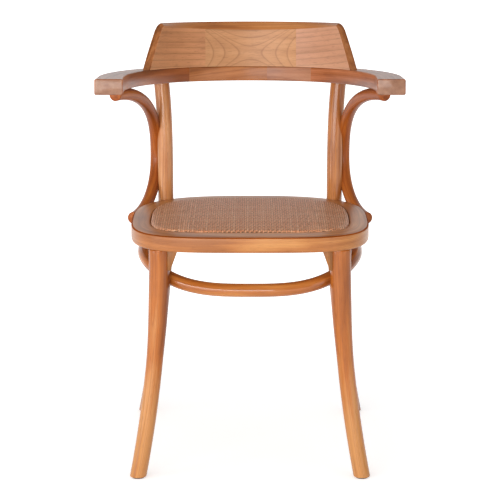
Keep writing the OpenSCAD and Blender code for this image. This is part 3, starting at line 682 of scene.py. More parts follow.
# %% [markdown]
# The post ends in the slanted underside of the rail. Its last ring could be sawn off by a bisecting
# plane, but it is simpler to lay that ring's points on the plane from the start.

# %% Rear legs with their posts
BELOW_RAIL, POST_STATIONS = 3, 90


def rear_leg_rings(side):
    heights = np.linspace(GLIDE_T + FOOT_ROUND, post_top_z - BELOW_RAIL, POST_STATIONS)
    shank = [(z, 0) for z in heights[1:]]
    rings = [level_circle(rear_xy(z), rear_r(z) - drop, z, side) for z, drop in foot + shank]
    top = level_circle(rear_xy(post_top_z), REAR_LEG_R, 0, side)
    for point in top:
        point.z = rail_plane((point.y - seat_middle.y) * 1000) * 0.001
    return rings + [top]


rear_legs = pair("bent_rear_leg", "rear_leg", lambda side: skin(rear_leg_rings(side)))
print("rear legs:", [len(leg.data.vertices) for leg in rear_legs.values()], "points")

# %% [markdown]
# The hoop is a steamed round rod that runs inside the four legs and stiffens them. It dips at the
# front, and its outline is a rounded square that touches each leg. A torus is neither square nor
# dipped, so the rod is a skin again. Its section stays round where it bends, so each ring stands
# square to the line.

# %% Hoop
HOOP_R, HOOP_HALF_W, HOOP_FULLNESS, HOOP_LET_IN = 12.5, 200.2, 3.1, 1
HOOP_Z, HOOP_DROP = 394, 47
HOOP_SEAM, HOOP_STATIONS, AHEAD = math.radians(75), 180, 0.02
HOOP_FRONT_Z = HOOP_Z - HOOP_DROP / 3
hoop_front = front_xy(HOOP_FRONT_Z) - front_out * (front_r(HOOP_FRONT_Z) + HOOP_R - HOOP_LET_IN)
hoop_rear = rear_xy(HOOP_Z) - rear_out * (rear_r(HOOP_Z) + HOOP_R - HOOP_LET_IN)


def hoop_half(touch):
    """Half depth that brings the outline through the point where it touches a leg"""
    return abs(touch.y) / (1 - (touch.x / HOOP_HALF_W) ** HOOP_FULLNESS) ** (1 / HOOP_FULLNESS)


HOOP_HALF_FRONT, HOOP_HALF_REAR = hoop_half(hoop_front), hoop_half(hoop_rear)


def hoop_point(turn):
    front = math.sin(turn) < 0
    half_y = HOOP_HALF_FRONT if front else HOOP_HALF_REAR
    spot = rounded_square(turn, HOOP_HALF_W, half_y, HOOP_FULLNESS)
    return Vector((*spot, HOOP_Z - (HOOP_DROP * math.sin(turn) ** 2 if front else 0)))


def square_ring(centre, direction, up, radius):
    """A circle of points around a line, square to it"""
    direction = direction.normalized()
    first = (up - direction * up.dot(direction)).normalized()
    second = direction.cross(first)
    turns = [2 * math.pi * j / ROD_SIDES for j in range(ROD_SIDES)]
    return [place(*(centre + (first * math.cos(w) + second * math.sin(w)) * radius)) for w in turns]


hoop_turns = even_turns(hoop_point, HOOP_STATIONS, HOOP_SEAM)
X_AXIS, Z_AXIS = Vector((1, 0, 0)), Vector((0, 0, 1))
hoop_rings = [square_ring(hoop_point(t), hoop_point(t + AHEAD) - hoop_point(t - AHEAD), Z_AXIS, HOOP_R)
              for t in hoop_turns]
hoop = piece("bent_hoop", skin(hoop_rings, closed=True), ["hoop"])
print("hoop:", len(hoop.data.vertices), "points")

# %% [markdown]
# The arm braces are C-shaped bent rods. Each starts under the arm, swings back to touch the post and
# comes forward again along the ring's side. A spline through three points would bulge past the post,
# so two quarter ovals meet there instead. The cut ends get a small arris, as sanding leaves it.

# %% Arm brace line
ARM_X, ARM_BEND_Y = 255.403, -79.6425
BRACE_R, BRACE_ARRIS, BRACE_STATIONS = 11.7, 0.8, 91
BRACE_MID_Z, BRACE_LOW_Z = 540, 436
BRACE_TOP_Y, BRACE_LOW_Y = -10, 73
BRACE_TOP_IN, TOP_LET_IN, MID_LET_IN, LOW_LET_IN = 2.5, 0.5, 1, 4
BRACE_TOP_BENDS, BRACE_LOW_BENDS = (1.37, 0.93), (1.13, 1)
brace_side = math.radians(44)
from_post = Vector((math.cos(brace_side), math.sin(brace_side)))
brace_mid = rear_xy(BRACE_MID_Z) + from_post * (REAR_LEG_R + BRACE_R - MID_LET_IN)
brace_top = Vector((ARM_X - BRACE_TOP_IN, BRACE_TOP_Y, rail_plane(BRACE_TOP_Y) - BRACE_R + TOP_LET_IN))
ring_half = SEAT_W / 2 * (1 - (BRACE_LOW_Y * 2 / SEAT_D) ** REAR_FULLNESS) ** (1 / REAR_FULLNESS)
brace_low = Vector((ring_half + BRACE_R - LOW_LET_IN, BRACE_LOW_Y, BRACE_LOW_Z))


def brace_point(turn):
    """Middle line of the brace, from -90 degrees at the ring to 90 degrees at the arm"""
    end, bends = (brace_top, BRACE_TOP_BENDS) if turn >= 0 else (brace_low, BRACE_LOW_BENDS)
    gone = max(0, 1 - math.cos(turn))
    return Vector((brace_mid.x + (end.x - brace_mid.x) * gone ** bends[0],
                   brace_mid.y + (end.y - brace_mid.y) * gone ** bends[1],
                   BRACE_MID_Z + (end.z - BRACE_MID_Z) * abs(math.sin(turn))))


def brace_rings(side):
    quarter = math.pi / 2
    rings = []
    for turn in np.linspace(-quarter, quarter, BRACE_STATIONS):
        ahead = brace_point(min(quarter, turn + AHEAD / 2))
        behind = brace_point(max(-quarter, turn - AHEAD / 2))
        ring = square_ring(brace_point(turn), ahead - behind, X_AXIS, BRACE_R)
        rings.append([Vector((side * (p.x - seat_middle.x) + seat_middle.x, p.y, p.z)) for p in ring])
    return rings


arm_braces = pair("bent_arm_brace", "arm_brace",
                  lambda side: soften(skin(brace_rings(side)), BRACE_ARRIS))
print("arm braces:", [len(brace.data.vertices) for brace in arm_braces.values()], "points")

# %% [markdown]
# Arms and rail are sawn from flat boards and glued end to end into one U. The line has a rear bend,
# a shoulder bend and a slow bend, then runs straight to the front. It could be drawn as a spline, but
# a sawyer's pattern is made of arcs, and arcs meet the CAD model exactly. The line lies in a plane
# that is tilted back a little, so one function carries points from that plane into the room.

# %% Rail line
RAIL_W, RAIL_T, RAIL_EDGE = 48.3, 28.5, 3
ARM_FRONT, ARM_WIDER = 175, 3
BEND_TURNS = [math.radians(51.6), math.radians(68.7)]
BEND_RADII = [218.5, 337, 502]
RAIL_REAR_Y = 272.4


def turned(angle):
    return Vector((math.sin(angle), math.cos(angle)))


bend_centres = [Vector((0, RAIL_REAR_Y - BEND_RADII[0]))]
for bend, angle in enumerate(BEND_TURNS):
    bend_centres.append(bend_centres[-1] + turned(angle) * (BEND_RADII[bend] - BEND_RADII[bend + 1]))


def rail_xy(angle, out=0.0):
    """A point beside the rail's middle line, at a turn from its rearmost point"""
    bend = 0 if angle < BEND_TURNS[0] else 1 if angle < BEND_TURNS[1] else 2
    return bend_centres[bend] + turned(angle) * (BEND_RADII[bend] + out)


def on_rail(x, y, z):
    """A point in the tilted plane of the rail, z above its underside, as metres in the frame"""
    c, s = math.cos(RAIL_TILT), math.sin(RAIL_TILT)
    return place(x, y * c + z * s, RAIL_UNDER - y * s + z * c)


rail_up = Vector((0, math.sin(RAIL_TILT), math.cos(RAIL_TILT)))
print("arm's straight run starts at y =", round(bend_centres[2].y, 1), "and x =",
      round(bend_centres[2].x + BEND_RADII[2], 1))

# %% [markdown]
# The section is a rectangle with rounded long edges, drawn with its corners rounded so that no bevel
# has to follow the whole U. Glue lines part the U into four segments, so each is a piece of its own
# and shows its own wood. The front ends are cut square, show end grain, and their arris is broken by
# a file, which is where a bevel does serve.

# %% Arms
JOINT_TURN, MIDDLE_JOINT = math.radians(38), math.radians(10)
ARM_ARRIS = 1.4
# The front end is all that lies this near to the front, in metres, and its faces look forward
FRONT_BAND, FRONT_FACES = 0.004, -0.98
arm_bends = np.linspace(JOINT_TURN, math.pi / 2, 70)
arm_runs = np.linspace(ARM_BEND_Y, -ARM_FRONT, 12)[1:]


def rail_section():
    half, top = RAIL_W / 2 - RAIL_EDGE, RAIL_T - RAIL_EDGE
    corners = [(half, top, 0), (-half, top, 90), (-half, RAIL_EDGE, 180), (half, RAIL_EDGE, 270)]
    return [(x + RAIL_EDGE * math.cos(math.radians(q) + a), z + RAIL_EDGE * math.sin(math.radians(q) + a))
            for x, z, q in corners for a in quarter_turn]


def arm_bend_ring(angle, side):
    """The section at a turn of the bends"""
    spots = [(rail_xy(angle, out), z) for out, z in rail_section()]
    return [on_rail(side * spot.x, spot.y, z) for spot, z in spots]


def arm_front_ring(y, side):
    """The section on the straight run, where the inner side grows wider towards the front"""
    wider = ARM_WIDER * (ARM_BEND_Y - y) / (ARM_BEND_Y + ARM_FRONT)
    return [on_rail(side * (ARM_X + out - (wider if out < 0 else 0)), y, z)
            for out, z in rail_section()]


def arm(side):
    """An arm with its front arris broken. The square front end's faces get a number of their own"""
    bm = skin([arm_bend_ring(a, side) for a in arm_bends] + [arm_front_ring(y, side) for y in arm_runs])
    front_y = place(0, -ARM_FRONT, 0).y
    soften(bm, ARM_ARRIS, 3, where=lambda e: all(abs(v.co.y - front_y) < FRONT_BAND for v in e.verts))
    for face in bm.faces:
        at_front = face.calc_center_median().y < front_y + FRONT_BAND
        face.material_index = int(face.normal.y < FRONT_FACES and at_front)
    return bm


arms = pair("sawn_arm", "arm", arm)
print("arm:", len(arms["left"].data.vertices), "points")

# %% Back rail
rails, rail_turns = {}, {}
for name, ends, stations in (("left", (-JOINT_TURN, MIDDLE_JOINT), 60),
                             ("right", (MIDDLE_JOINT, JOINT_TURN), 36)):
    rail_turns[name] = np.linspace(*ends, stations)
    rings = [[on_rail(*(bend_centres[0] + turned(a) * (BEND_RADII[0] + out)), z)
              for out, z in rail_section()] for a in rail_turns[name]]
    rails[name] = piece("sawn_back_rail_" + name, skin(rings), ["back_rail_" + name])
print("rail:", [len(rail.data.vertices) for rail in rails.values()], "points")

# %% [markdown]
# The back board follows the rail's inner edge and stands on the rail. Its ends slant inwards as they
# rise and turn into rounded corners. Its top edge is planed off towards the sitter in a sloping
# band, wide in the middle and narrower at the ends. A flat board could be bent by a modifier, but
# its slanted ends would twist, so its section is carried along the curve, from one end to the other.
# It is glued up from three staves end to end, so it is cut by two planes and each stave's faces get
# a number of their own. So do the ends, where the stain went deeper, and the planed band, whose darker
# browns are painted shade: it looks up, away from the low lamps.

# %% Back board
BOARD_H, BOARD_W = 88.5, 16
HALF_LOW, HALF_TOP, CORNER = 279.5, 223.5, 14
SLOPE_MIDDLE, SLOPE_END = 16, 5
BOARD_REAR, BOARD_FRONT = -RAIL_W / 2 + BOARD_W, -RAIL_W / 2
BOARD_ARRIS, ARRIS_FROM = 0.9, 0.030
STAVE_JOINTS = (-0.088, 0.091)
# The planed band's faces look up by more than the first. The ends' faces lie further out than the
# second, in metres, and look forward by more than the third
BEVEL_UP, END_FROM, END_FACES = 0.3, 0.15, -0.4


def rail_turn(length):
    """Turn reached after a length along the middle line"""
    first = BEND_RADII[0] * BEND_TURNS[0]
    if length < first:
        return length / BEND_RADII[0]
    return BEND_TURNS[0] + (length - first) / BEND_RADII[1]


def board_half(share):
    """Half length of the board at a share of its height"""
    over = max(0, share * BOARD_H - (BOARD_H - CORNER))
    return HALF_LOW + (HALF_TOP - HALF_LOW) * share - (CORNER - math.sqrt(CORNER ** 2 - over ** 2))


board_levels = [0, 0.12, 0.24, 0.36, 0.48, 0.6, 0.7, 0.78, 0.84, 0.89, 0.93, 0.965, 0.99, 1]


def board_ring(u):
    """The board's section at a share of its half length"""
    slope = SLOPE_MIDDLE + (SLOPE_END - SLOPE_MIDDLE) * u * u
    points = []
    for share in board_levels:
        spot = rail_xy(rail_turn(abs(u) * board_half(share)), BOARD_REAR)
        points.append((spot, share * BOARD_H))
    for share in reversed(board_levels):
        height = share * (BOARD_H - slope)
        spot = rail_xy(rail_turn(abs(u) * board_half(height / BOARD_H)), BOARD_FRONT)
        points.append((spot, height))
    return [on_rail(math.copysign(spot.x, u), spot.y, RAIL_T + z) for spot, z in points]


rail_foot = place(0, 0, RAIL_UNDER)
bm = skin([board_ring(u) for u in np.linspace(-1, 1, 121)])
soften(bm, BOARD_ARRIS, sharper_than=34.4,
       where=lambda e: max((v.co - rail_foot).dot(rail_up) for v in e.verts) > ARRIS_FROM)
for x in STAVE_JOINTS:
    bmesh.ops.bisect_plane(bm, geom=bm.verts[:] + bm.edges[:] + bm.faces[:], dist=1e-6,
                           plane_co=(x, 0, 0), plane_no=(1, 0, 0))
bm.normal_update()
for face in bm.faces:
    x = face.calc_center_median().x
    bevelled = face.normal.dot(rail_up) > BEVEL_UP
    sawn_end = abs(x) > END_FROM and face.normal.x * x > 0 and face.normal.y < END_FACES
    stave = 1 if x < STAVE_JOINTS[0] else 2 if x > STAVE_JOINTS[1] else 0
    face.material_index = 4 if sawn_end else 3 if bevelled else stave
back_board = piece("bent_back_board", bm, ["back_board"])
board_line = []
for length in np.linspace(-HALF_LOW, HALF_LOW, 120):
    spot = rail_xy(rail_turn(abs(length)), BOARD_FRONT + BOARD_W / 2)
    board_line.append(on_rail(math.copysign(spot.x, length), spot.y, RAIL_T + BOARD_H / 2))
print("back board:", len(back_board.data.vertices), "points")

# %% [markdown]
# The knee blocks are small sawn wedges, glued into the corner of front leg and ring. A cube's corners
# are moved to where the saw leaves them, and its edges are sanded round.

# %% Knee blocks
BLOCK_H, BLOCK_REACH, BLOCK_T, BLOCK_TIP = 40, 35, 24, 1.5
BLOCK_LET_IN, BLOCK_ARRIS = 4, 1.2


def knee_block(side):
    bm = bmesh.new()
    bmesh.ops.create_cube(bm, size=2)
    leg_side = front_top.x - FRONT_LEG_R + BLOCK_LET_IN
    for vert in bm.verts:
        top = vert.co.z > 0
        reach = front_top.x - (BLOCK_REACH if top else FRONT_LEG_R + BLOCK_TIP)
        x = leg_side if vert.co.x > 0 else reach
        z = SEAT_UNDER if top else SEAT_UNDER - BLOCK_H
        vert.co = place(side * x, front_top.y + vert.co.y * BLOCK_T / 2, z)
    bmesh.ops.recalc_face_normals(bm, faces=bm.faces)
    return soften(bm, BLOCK_ARRIS, segments=3)


knee_blocks = pair("glued_knee_block", "knee_block", knee_block)
print("knee blocks:", list(knee_blocks))

# %% [markdown]
# Screws and bolts sit below the surface. The wood in front of each head is drilled away, at the same
# places as in the CAD model: through the hoop and the braces, up through the knee blocks, into the
# back of each post, and up from below into the seat board.

# %% Sunk heads
HEAD_R, HEAD_SINK, ACCESS, CLEAR = 4.2, 2, 12, 0.15
BOLT_HEAD_R, WASHER_R, WASHER_CLEAR, BOLT_ACCESS = 7, 7, 0.5, 20
BOLT_Z, BOLT_SINK, WASHER_SINK = (SEAT_UNDER + LEDGE_TOP) / 2, 4, 1.5
ARM_SCREW, LOW_SCREW = math.radians(84), math.radians(-72)
LOW_SCREW_MIN_Z, BLOCK_SCREW = SEAT_UNDER + 7, 0.3
BOARD_SCREWS = [math.radians(a) for a in (0, 72, 108, 180, 252, 288)]
BOARD_HEAD_DEPTH, BOARD_SHANK_R = 2.8, 2.25


def hole(side, spot, z, direction, radius, before, depth, end_radius=None):
    """A hole on one side of the chair, which starts some millimetres before a point"""
    direction = Vector(direction).to_3d().normalized()
    direction.x *= side
    start = place(side * spot.x, spot.y, z) - direction * before * 0.001
    return start, direction, radius * 0.001, (end_radius or radius) * 0.001, depth * 0.001


def head_hole(side, spot, z, direction):
    """The hole that a screw's head leaves behind it"""
    return hole(side, spot, z, direction, HEAD_R + CLEAR, ACCESS, ACCESS)


def outline_turn_at(spot, half_x, half_y, fullness):
    """Turn of a rounded square at which its outline passes a point"""
    return math.atan2(abs(spot.y / half_y) ** (fullness / 2), abs(spot.x / half_x) ** (fullness / 2))


hoop_turn = outline_turn_at(hoop_front, HOOP_HALF_W, HOOP_HALF_FRONT, HOOP_FULLNESS)
hoop_screws = [(hoop_front, hoop_point(-hoop_turn).z, front_out), (hoop_rear, HOOP_Z, rear_out)]
arm_screw, low_screw = brace_point(ARM_SCREW), brace_point(LOW_SCREW)
low_out = ring_out(outline_turn_at(low_screw, SEAT_W / 2, SEAT_D / 2, REAR_FULLNESS))
brace_screws = [(arm_screw, arm_screw.z - BRACE_R + HEAD_SINK, rail_up),
                (brace_mid + from_post * (BRACE_R - HEAD_SINK), BRACE_MID_Z, -from_post),
                (low_screw.xy + low_out * (BRACE_R - HEAD_SINK), max(low_screw.z, LOW_SCREW_MIN_Z),
                 -low_out)]
block_slope = (BLOCK_REACH - FRONT_LEG_R - BLOCK_TIP) / BLOCK_H
block_x = front_top.x - BLOCK_REACH + BLOCK_H * BLOCK_SCREW * block_slope + HEAD_SINK
bolt_seat = REAR_OUTSIDE + ring_width(REAR_TURN) + LEDGE_W - WASHER_SINK
for name, side in SIDES.items():
    drill(hoop, [head_hole(side, spot - out * (HOOP_R - HEAD_SINK), z, out)
                 for spot, z, out in hoop_screws])
    drill(arm_braces[name], [head_hole(side, *screw) for screw in brace_screws])
    drill(knee_blocks[name], [head_hole(side, Vector((block_x, front_top.y)),
                                        SEAT_UNDER - BLOCK_H * BLOCK_SCREW, X_AXIS)])
    drill(rear_legs[name], [hole(side, rear_base, BOLT_Z, -rear_out, BOLT_HEAD_R + CLEAR,
                                 BOLT_ACCESS + REAR_LEG_R - BOLT_SINK, BOLT_ACCESS)])
    drill(seat_ring, [hole(side, rear_base, BOLT_Z, -rear_out, WASHER_R + WASHER_CLEAR, -bolt_seat,
                           BOLT_ACCESS)])
drill(seat_ring, [hole(1, ring_at(turn, ring_width(turn) + LEDGE_W / 2), SEAT_UNDER, Z_AXIS,
                       HEAD_R + 2 * CLEAR, 0.2, BOARD_HEAD_DEPTH, BOARD_SHANK_R)
                  for turn in BOARD_SCREWS])
print("seat ring after drilling:", len(seat_ring.data.vertices), "points")

# %% [markdown]
# Each wooden piece now gets its fibres and its finish. The middle lines carry the fibres around the
# bends. Each piece is cut from its own place in the log, because two pieces with the same figure
# would look printed.

# %% Fibres and finishes on the pieces
leg_heights = np.linspace(0, SEAT_UNDER, 40)
post_heights = np.linspace(0, post_top_z, 60)
brace_turns = np.linspace(-math.pi / 2, math.pi / 2, 60)
hoop_line = [place(*hoop_point(t)) for t in hoop_turns]


def on_side(side, points):
    """Points of the chair's right side, mirrored for its left side, as metres in the frame"""
    return [place(side * x, y, z) for x, y, z in points]


def finish_wood(obj, line, up, cuts, finishes, closed=False):
    follow_grain(obj, line, up, cuts, closed)
    smooth(obj)
    for material in finishes:
        obj.data.materials.append(material)


ring_cut = (0, 14, 74)
finish_wood(seat_ring, seat_line, Z_AXIS, [ring_cut] * 2, [ring_ash, painted_shade_edge_ash], closed=True)
finish_wood(hoop, hoop_line, Z_AXIS, [(400, 44, 30)], [honey_ash], closed=True)
for number, (name, side) in enumerate(SIDES.items()):
    finish_wood(front_legs[name], on_side(side, [(*front_xy(z), z) for z in leg_heights]), X_AXIS,
                [(1500 * number, 36 - 6 * number, 20 + 4 * number)], [leg_ash])
    finish_wood(rear_legs[name], on_side(side, [(*rear_xy(z), z) for z in post_heights]), X_AXIS,
                [(2300 + 700 * number, 34, 22)], [(left_post_ash, right_post_ash)[number]])
    finish_wood(arm_braces[name], on_side(side, [brace_point(t) for t in brace_turns]), X_AXIS,
                [(3500 + 700 * number, 22, 27)], [brace_ash])
    block_line = [(front_top.x - 28, front_top.y, z) for z in (SEAT_UNDER - BLOCK_H, SEAT_UNDER)]
    finish_wood(knee_blocks[name], on_side(side, block_line), X_AXIS,
                [(5000 + 90 * number, 30, 12)], [block_ash])
    arm_line = [on_rail(side * rail_xy(a).x, rail_xy(a).y, RAIL_T / 2) for a in arm_bends]
    arm_line += [on_rail(side * ARM_X, y, RAIL_T / 2) for y in arm_runs]
    arm_cut = (6000 + 900 * number, 15 + 30 * number, 62)
    finish_wood(arms[name], arm_line, rail_up, [arm_cut] * 2,
                [(left_arm_ash, right_arm_ash)[number], end_ash])
for name, cut, finish in (("left", (8000, 48, 20, 0.1), rail_ash), ("right", (8700, 60, -5), pink_ash)):
    rail_line = [on_rail(*(bend_centres[0] + turned(a) * BEND_RADII[0]), RAIL_T / 2)
                 for a in rail_turns[name]]
    finish_wood(rails[name], rail_line, rail_up, [cut], [finish])
# The middle stave's hourglass is centred 27 mm above the rail, and the side staves' rings lean
edge_cut = (0, 300, 90)
stave_cuts = [(18.1 - HALF_LOW, 83.5, 17.2), (600, 600, 150, -0.03), (0, 600, 200, 0.095)]
finish_wood(back_board, board_line, rail_up, stave_cuts + [edge_cut] * 2,
            [board_ash, orange_stave, pink_stave, painted_shade_bevel_ash, rail_ash])
print("wooden pieces:", sum(1 for o in bpy.data.objects if "grain" in getattr(o.data, "attributes", {})))

# %% [markdown]
# The woven seat. Split rattan strands run from front to back, side by side, and cross strands a
# little wider pass over and under them, as in a basket. Strands modelled one by one would be several
# hundred thousand faces, and bump alone would look flat along the edge. So one grid is bent into the
# weave: its columns run along the strands, each from one end of the outline to the other. At every
# point the higher of the two strands shows, and its round back gives the height. The edge rolls down
# into the gap by the ring. The real strands are a little finer than the grid can show.

# %% Woven panel
PANEL_GAP, PANEL_LOW, PANEL_EDGE = 0.8, 451, 459
CROWN, CROWN_FULLNESS = 6, 2.6
STRAND, CROSS, STRAND_INSET = 4.2, 5.2, 0.3
STRAND_BACK, STRAND_DIVE = 0.9, 0.55
PER_STRAND, ROWS = 5, 216
# Cross strands are counted from a row in front of the chair, and numbered on from the long strands
ROWS_AHEAD, FIRST_CROSS = 100, 300
OUTLINE_STEPS = 720
ROLL_SHARES = [0.95, 0.965, 0.975, 0.985, 0.993, 1]
ROLL_HEIGHTS = [500, PANEL_EDGE + 0.4, PANEL_EDGE, PANEL_EDGE - 0.8, PANEL_EDGE - 2.4, PANEL_LOW + 2]
outline = np.array([tuple(ring_at(t, ring_width(t) + PANEL_GAP))
                    for t in np.linspace(0, 2 * math.pi, OUTLINE_STEPS + 1)])
outline_turn = np.unwrap(np.arctan2(outline[:, 1], outline[:, 0]))
outline_reach = np.linalg.norm(outline, axis=1)
panel_half = outline[:, 0].max() - STRAND_INSET
rear_half, front_half = outline[:OUTLINE_STEPS // 2 + 1], outline[OUTLINE_STEPS // 2:]


def panel_depth(x):
    """Where a line at x leaves the outline at the front and at the rear"""
    return (np.interp(x, front_half[:, 0], front_half[:, 1]),
            np.interp(x, rear_half[::-1, 0], rear_half[::-1, 1]))


def panel_height(x, y):
    """Height of the panel: a rolled edge, then a low crown"""
    turn = math.atan2(y, x) % (2 * math.pi)
    share = min(1, math.hypot(x, y) / np.interp(turn, outline_turn, outline_reach))
    crown = PANEL_EDGE + CROWN * (1 - share ** CROWN_FULLNESS)
    return min(crown, float(np.interp(share, ROLL_SHARES, ROLL_HEIGHTS)))


def back_of(across):
    """Height of a strand's round back, from -1 at one edge to 1 at the other"""
    return STRAND_BACK * math.sqrt(max(0, 1 - across * across))


strands = round(2 * panel_half / STRAND)
bm = bmesh.new()
bmesh.ops.create_grid(bm, x_segments=strands * PER_STRAND, y_segments=ROWS, size=1)
strand = bm.verts.layers.float_vector.new("strand")
for vert in bm.verts:
    x = vert.co.x * panel_half
    low, high = panel_depth(x)
    y = low + (high - low) * (vert.co.y + 1) / 2
    column = (vert.co.x + 1) / 2 * strands
    own = min(strands - 1, math.floor(column + 1e-6))
    row = y / CROSS + ROWS_AHEAD
    across, over = (column - own) * 2 - 1, (row - math.floor(row)) * 2 - 1
    dive = STRAND_DIVE * math.sin(math.pi * (column + 0.5)) * math.sin(math.pi * (row + 0.5))
    dive = STRAND_DIVE * (1 if (own + math.floor(row)) % 2 else -1) * math.sqrt(abs(dive / STRAND_DIVE))
    long_back, cross_back = back_of(across) + dive, back_of(over) - dive
    if long_back >= cross_back:
        vert[strand] = (y * 0.001, own, across)
    else:
        vert[strand] = (x * 0.001, FIRST_CROSS + math.floor(row), over)
    sunk = max(long_back, cross_back) - STRAND_BACK - STRAND_DIVE
    vert.co = place(x, y, panel_height(x, y) + sunk)
bmesh.ops.recalc_face_normals(bm, faces=bm.faces)
rim = [e for e in bm.edges if e.is_boundary]
skirt = bmesh.ops.extrude_edge_only(bm, edges=rim)["geom"]
for vert in (g for g in skirt if isinstance(g, bmesh.types.BMVert)):
    vert.co.z = PANEL_LOW * 0.001
bmesh.ops.contextual_create(bm, geom=[g for g in skirt if isinstance(g, bmesh.types.BMEdge)])
bmesh.ops.recalc_face_normals(bm, faces=bm.faces)
rattan_panel = piece("woven_rattan_seat", bm, ["rattan_panel"])
print("weave:", strands, "strands,", len(rattan_panel.data.polygons), "faces")

# %% [markdown]
# Rattan peel is the shiny skin of the cane, split into flat strands. It isn't stained evenly, so each
# strand is a little lighter or darker. Towards its edges each strand darkens to near black: painted
# shade in the gaps between the strands. A pattern in Object coordinates wouldn't meet the strands, so
# the number and the place that are stored on the grid give every strand its own tone and its
# painted shaded edges.

# %% Rattan finish
rattan, tree, shader = new_material("split_rattan_peel")
strand = add(tree, "Attribute", {}, attribute_name="strand").outputs["Vector"]
parts = add(tree, "SeparateXYZ", {"Vector": strand})
tone = add(tree, "TexWhiteNoise", {"W": parts.outputs["Y"]}, noise_dimensions="1D").outputs["Value"]
streak = add(tree, "Mapping", {"Vector": strand, "Scale": (45, 3.1, 2.0)}).outputs["Vector"]
streak = add(tree, "TexNoise", {"Vector": streak, "Scale": 1.0, "Detail": 3.0}).outputs["Fac"]
mixed = add(tree, "Math", {0: tone, 1: 0.34, 2: streak}, operation="MULTIPLY_ADD").outputs[0]
body = ramp(tree, mixed, [(0.4, "#c4744a"), (0.65, "#ea9e70"), (0.9, "#ffd0a4")])
# Painted shade: towards each strand's edge the colour darkens to near black, for the gaps between the
# strands
side = add(tree, "Math", {0: parts.outputs["Z"]}, operation="ABSOLUTE").outputs[0]
side = add(tree, "MapRange", {"Value": side, "From Min": 0.2, "From Max": 0.85, "To Max": 1.0}).outputs[0]
body = add(tree, "Mix", {0: side, 6: body, 7: linear("#30170c")}, data_type="RGBA").outputs[2]
tree.links.new(body, shader.inputs["Base Color"])
shader.inputs["Roughness"].default_value = 0.48
shader.inputs["IOR"].default_value = 1.45
rattan_panel.data.shade_smooth()
rattan_panel.data.materials.append(rattan)
print("rattan finish:", rattan.name)

# %% [markdown]
# The small CAD nodes have the right shape already, so they stay and only get better finishes:
# zinc-plated steel with a faint mottle, glides of moulded brown nylon, and birch plywood under the
# weave, which stands for the beech of the dowels too.

# %% Finishes of the CAD nodes
zinc, tree, shader = new_material("zinc_plated_steel")
place_in = add(tree, "TexCoord", {}).outputs["Object"]
spangle = add(tree, "TexNoise", {"Vector": place_in, "Scale": 700.0, "Detail": 2.0}).outputs["Fac"]
tree.links.new(ramp(tree, spangle, [(0.3, "#9a9b9c"), (0.7, "#c6c8c9")]), shader.inputs["Base Color"])
rough = add(tree, "Math", {0: spangle, 1: 0.25, 2: 0.22}, operation="MULTIPLY_ADD").outputs[0]
tree.links.new(rough, shader.inputs["Roughness"])
shader.inputs["Metallic"].default_value = 1.0

nylon, tree, shader = new_material("moulded_brown_nylon")
place_in = add(tree, "TexCoord", {}).outputs["Object"]
haze = add(tree, "TexNoise", {"Vector": place_in, "Scale": 900.0, "Detail": 2.0}).outputs["Fac"]
tree.links.new(ramp(tree, haze, [(0.3, "#41372f"), (0.7, "#51463c")]), shader.inputs["Base Color"])
bump = add(tree, "Bump", {"Height": haze, "Strength": 0.2, "Distance": 0.0002})
tree.links.new(bump.outputs["Normal"], shader.inputs["Normal"])
shader.inputs["Roughness"].default_value = 0.5

ply, tree, shader = new_material("birch_plywood")
place_in = add(tree, "TexCoord", {}).outputs["Object"]
fibre = add(tree, "Mapping", {"Vector": place_in, "Scale": (220, 9, 700)}).outputs["Vector"]
fibre = add(tree, "TexNoise", {"Vector": fibre, "Scale": 1.0, "Detail": 4.0}).outputs["Fac"]
tree.links.new(ramp(tree, fibre, [(0.3, "#b98f62"), (0.55, "#d3ab7c"), (0.8, "#e0bf92")]),
               shader.inputs["Base Color"])
bump = add(tree, "Bump", {"Height": fibre, "Strength": 0.3, "Distance": 0.0003})
tree.links.new(bump.outputs["Normal"], shader.inputs["Normal"])
shader.inputs["Roughness"].default_value = 0.6

finishes = {zinc: ["board_screws", "leg_bolts", "leg_bolt_washers", "leg_bolt_nuts", "hoop_screws",
                   "brace_arm_screws", "brace_post_screws", "brace_seat_screws", "block_screws"],
            nylon: ["glides"], ply: ["seat_board", "rail_dowels", "board_dowels"]}
for material, names in finishes.items():
    for name in names:
        for slot in nodes[name].material_slots:
            slot.material = material
print("CAD nodes finished:", sum(len(names) for names in finishes.values()))

# %% [markdown]
# A white studio. The photograph's ground is pure white and keeps a faint shadow at the feet. More
# light on the floor would bleach the wood too, so the floor only shines for the rays of the camera
# and of mirrors. It shines less near the chair, which leaves the soft shadow there.

# %% Floor
bm = bmesh.new()
bmesh.ops.create_grid(bm, x_segments=1, y_segments=1, size=40)
mesh = bpy.data.meshes.new("studio_floor")
bm.to_mesh(mesh)
bm.free()
floor = bpy.data.objects.new("studio_floor", mesh)
bpy.context.scene.collection.objects.link(floor)
white, tree, shader = new_material("white_studio_floor")
shader.inputs["Base Color"].default_value = linear("#f2f2f2")
shader.inputs["Roughness"].default_value = 0.9
path = add(tree, "LightPath", {})
seen = add(tree, "Math", {0: path.outputs["Is Camera Ray"], 1: path.outputs["Is Glossy Ray"]},
           operation="MAXIMUM").outputs[0]
seen = add(tree, "Math", {0: seen, 1: path.outputs["Is Transmission Ray"]},
           operation="MAXIMUM").outputs[0]
away = add(tree, "VectorMath", {0: add(tree, "TexCoord", {}).outputs["Object"]}, operation="LENGTH")
away = add(tree, "MapRange", {"Value": away.outputs["Value"], "From Min": 0.4, "From Max": 1.4,
                              "To Min": 0.5, "To Max": 1.0}, interpolation_type="SMOOTHSTEP").outputs[0]
lift = add(tree, "Math", {0: seen, 1: away}, operation="MULTIPLY").outputs[0]
shader.inputs["Emission Color"].default_value = (1, 1, 1, 1)
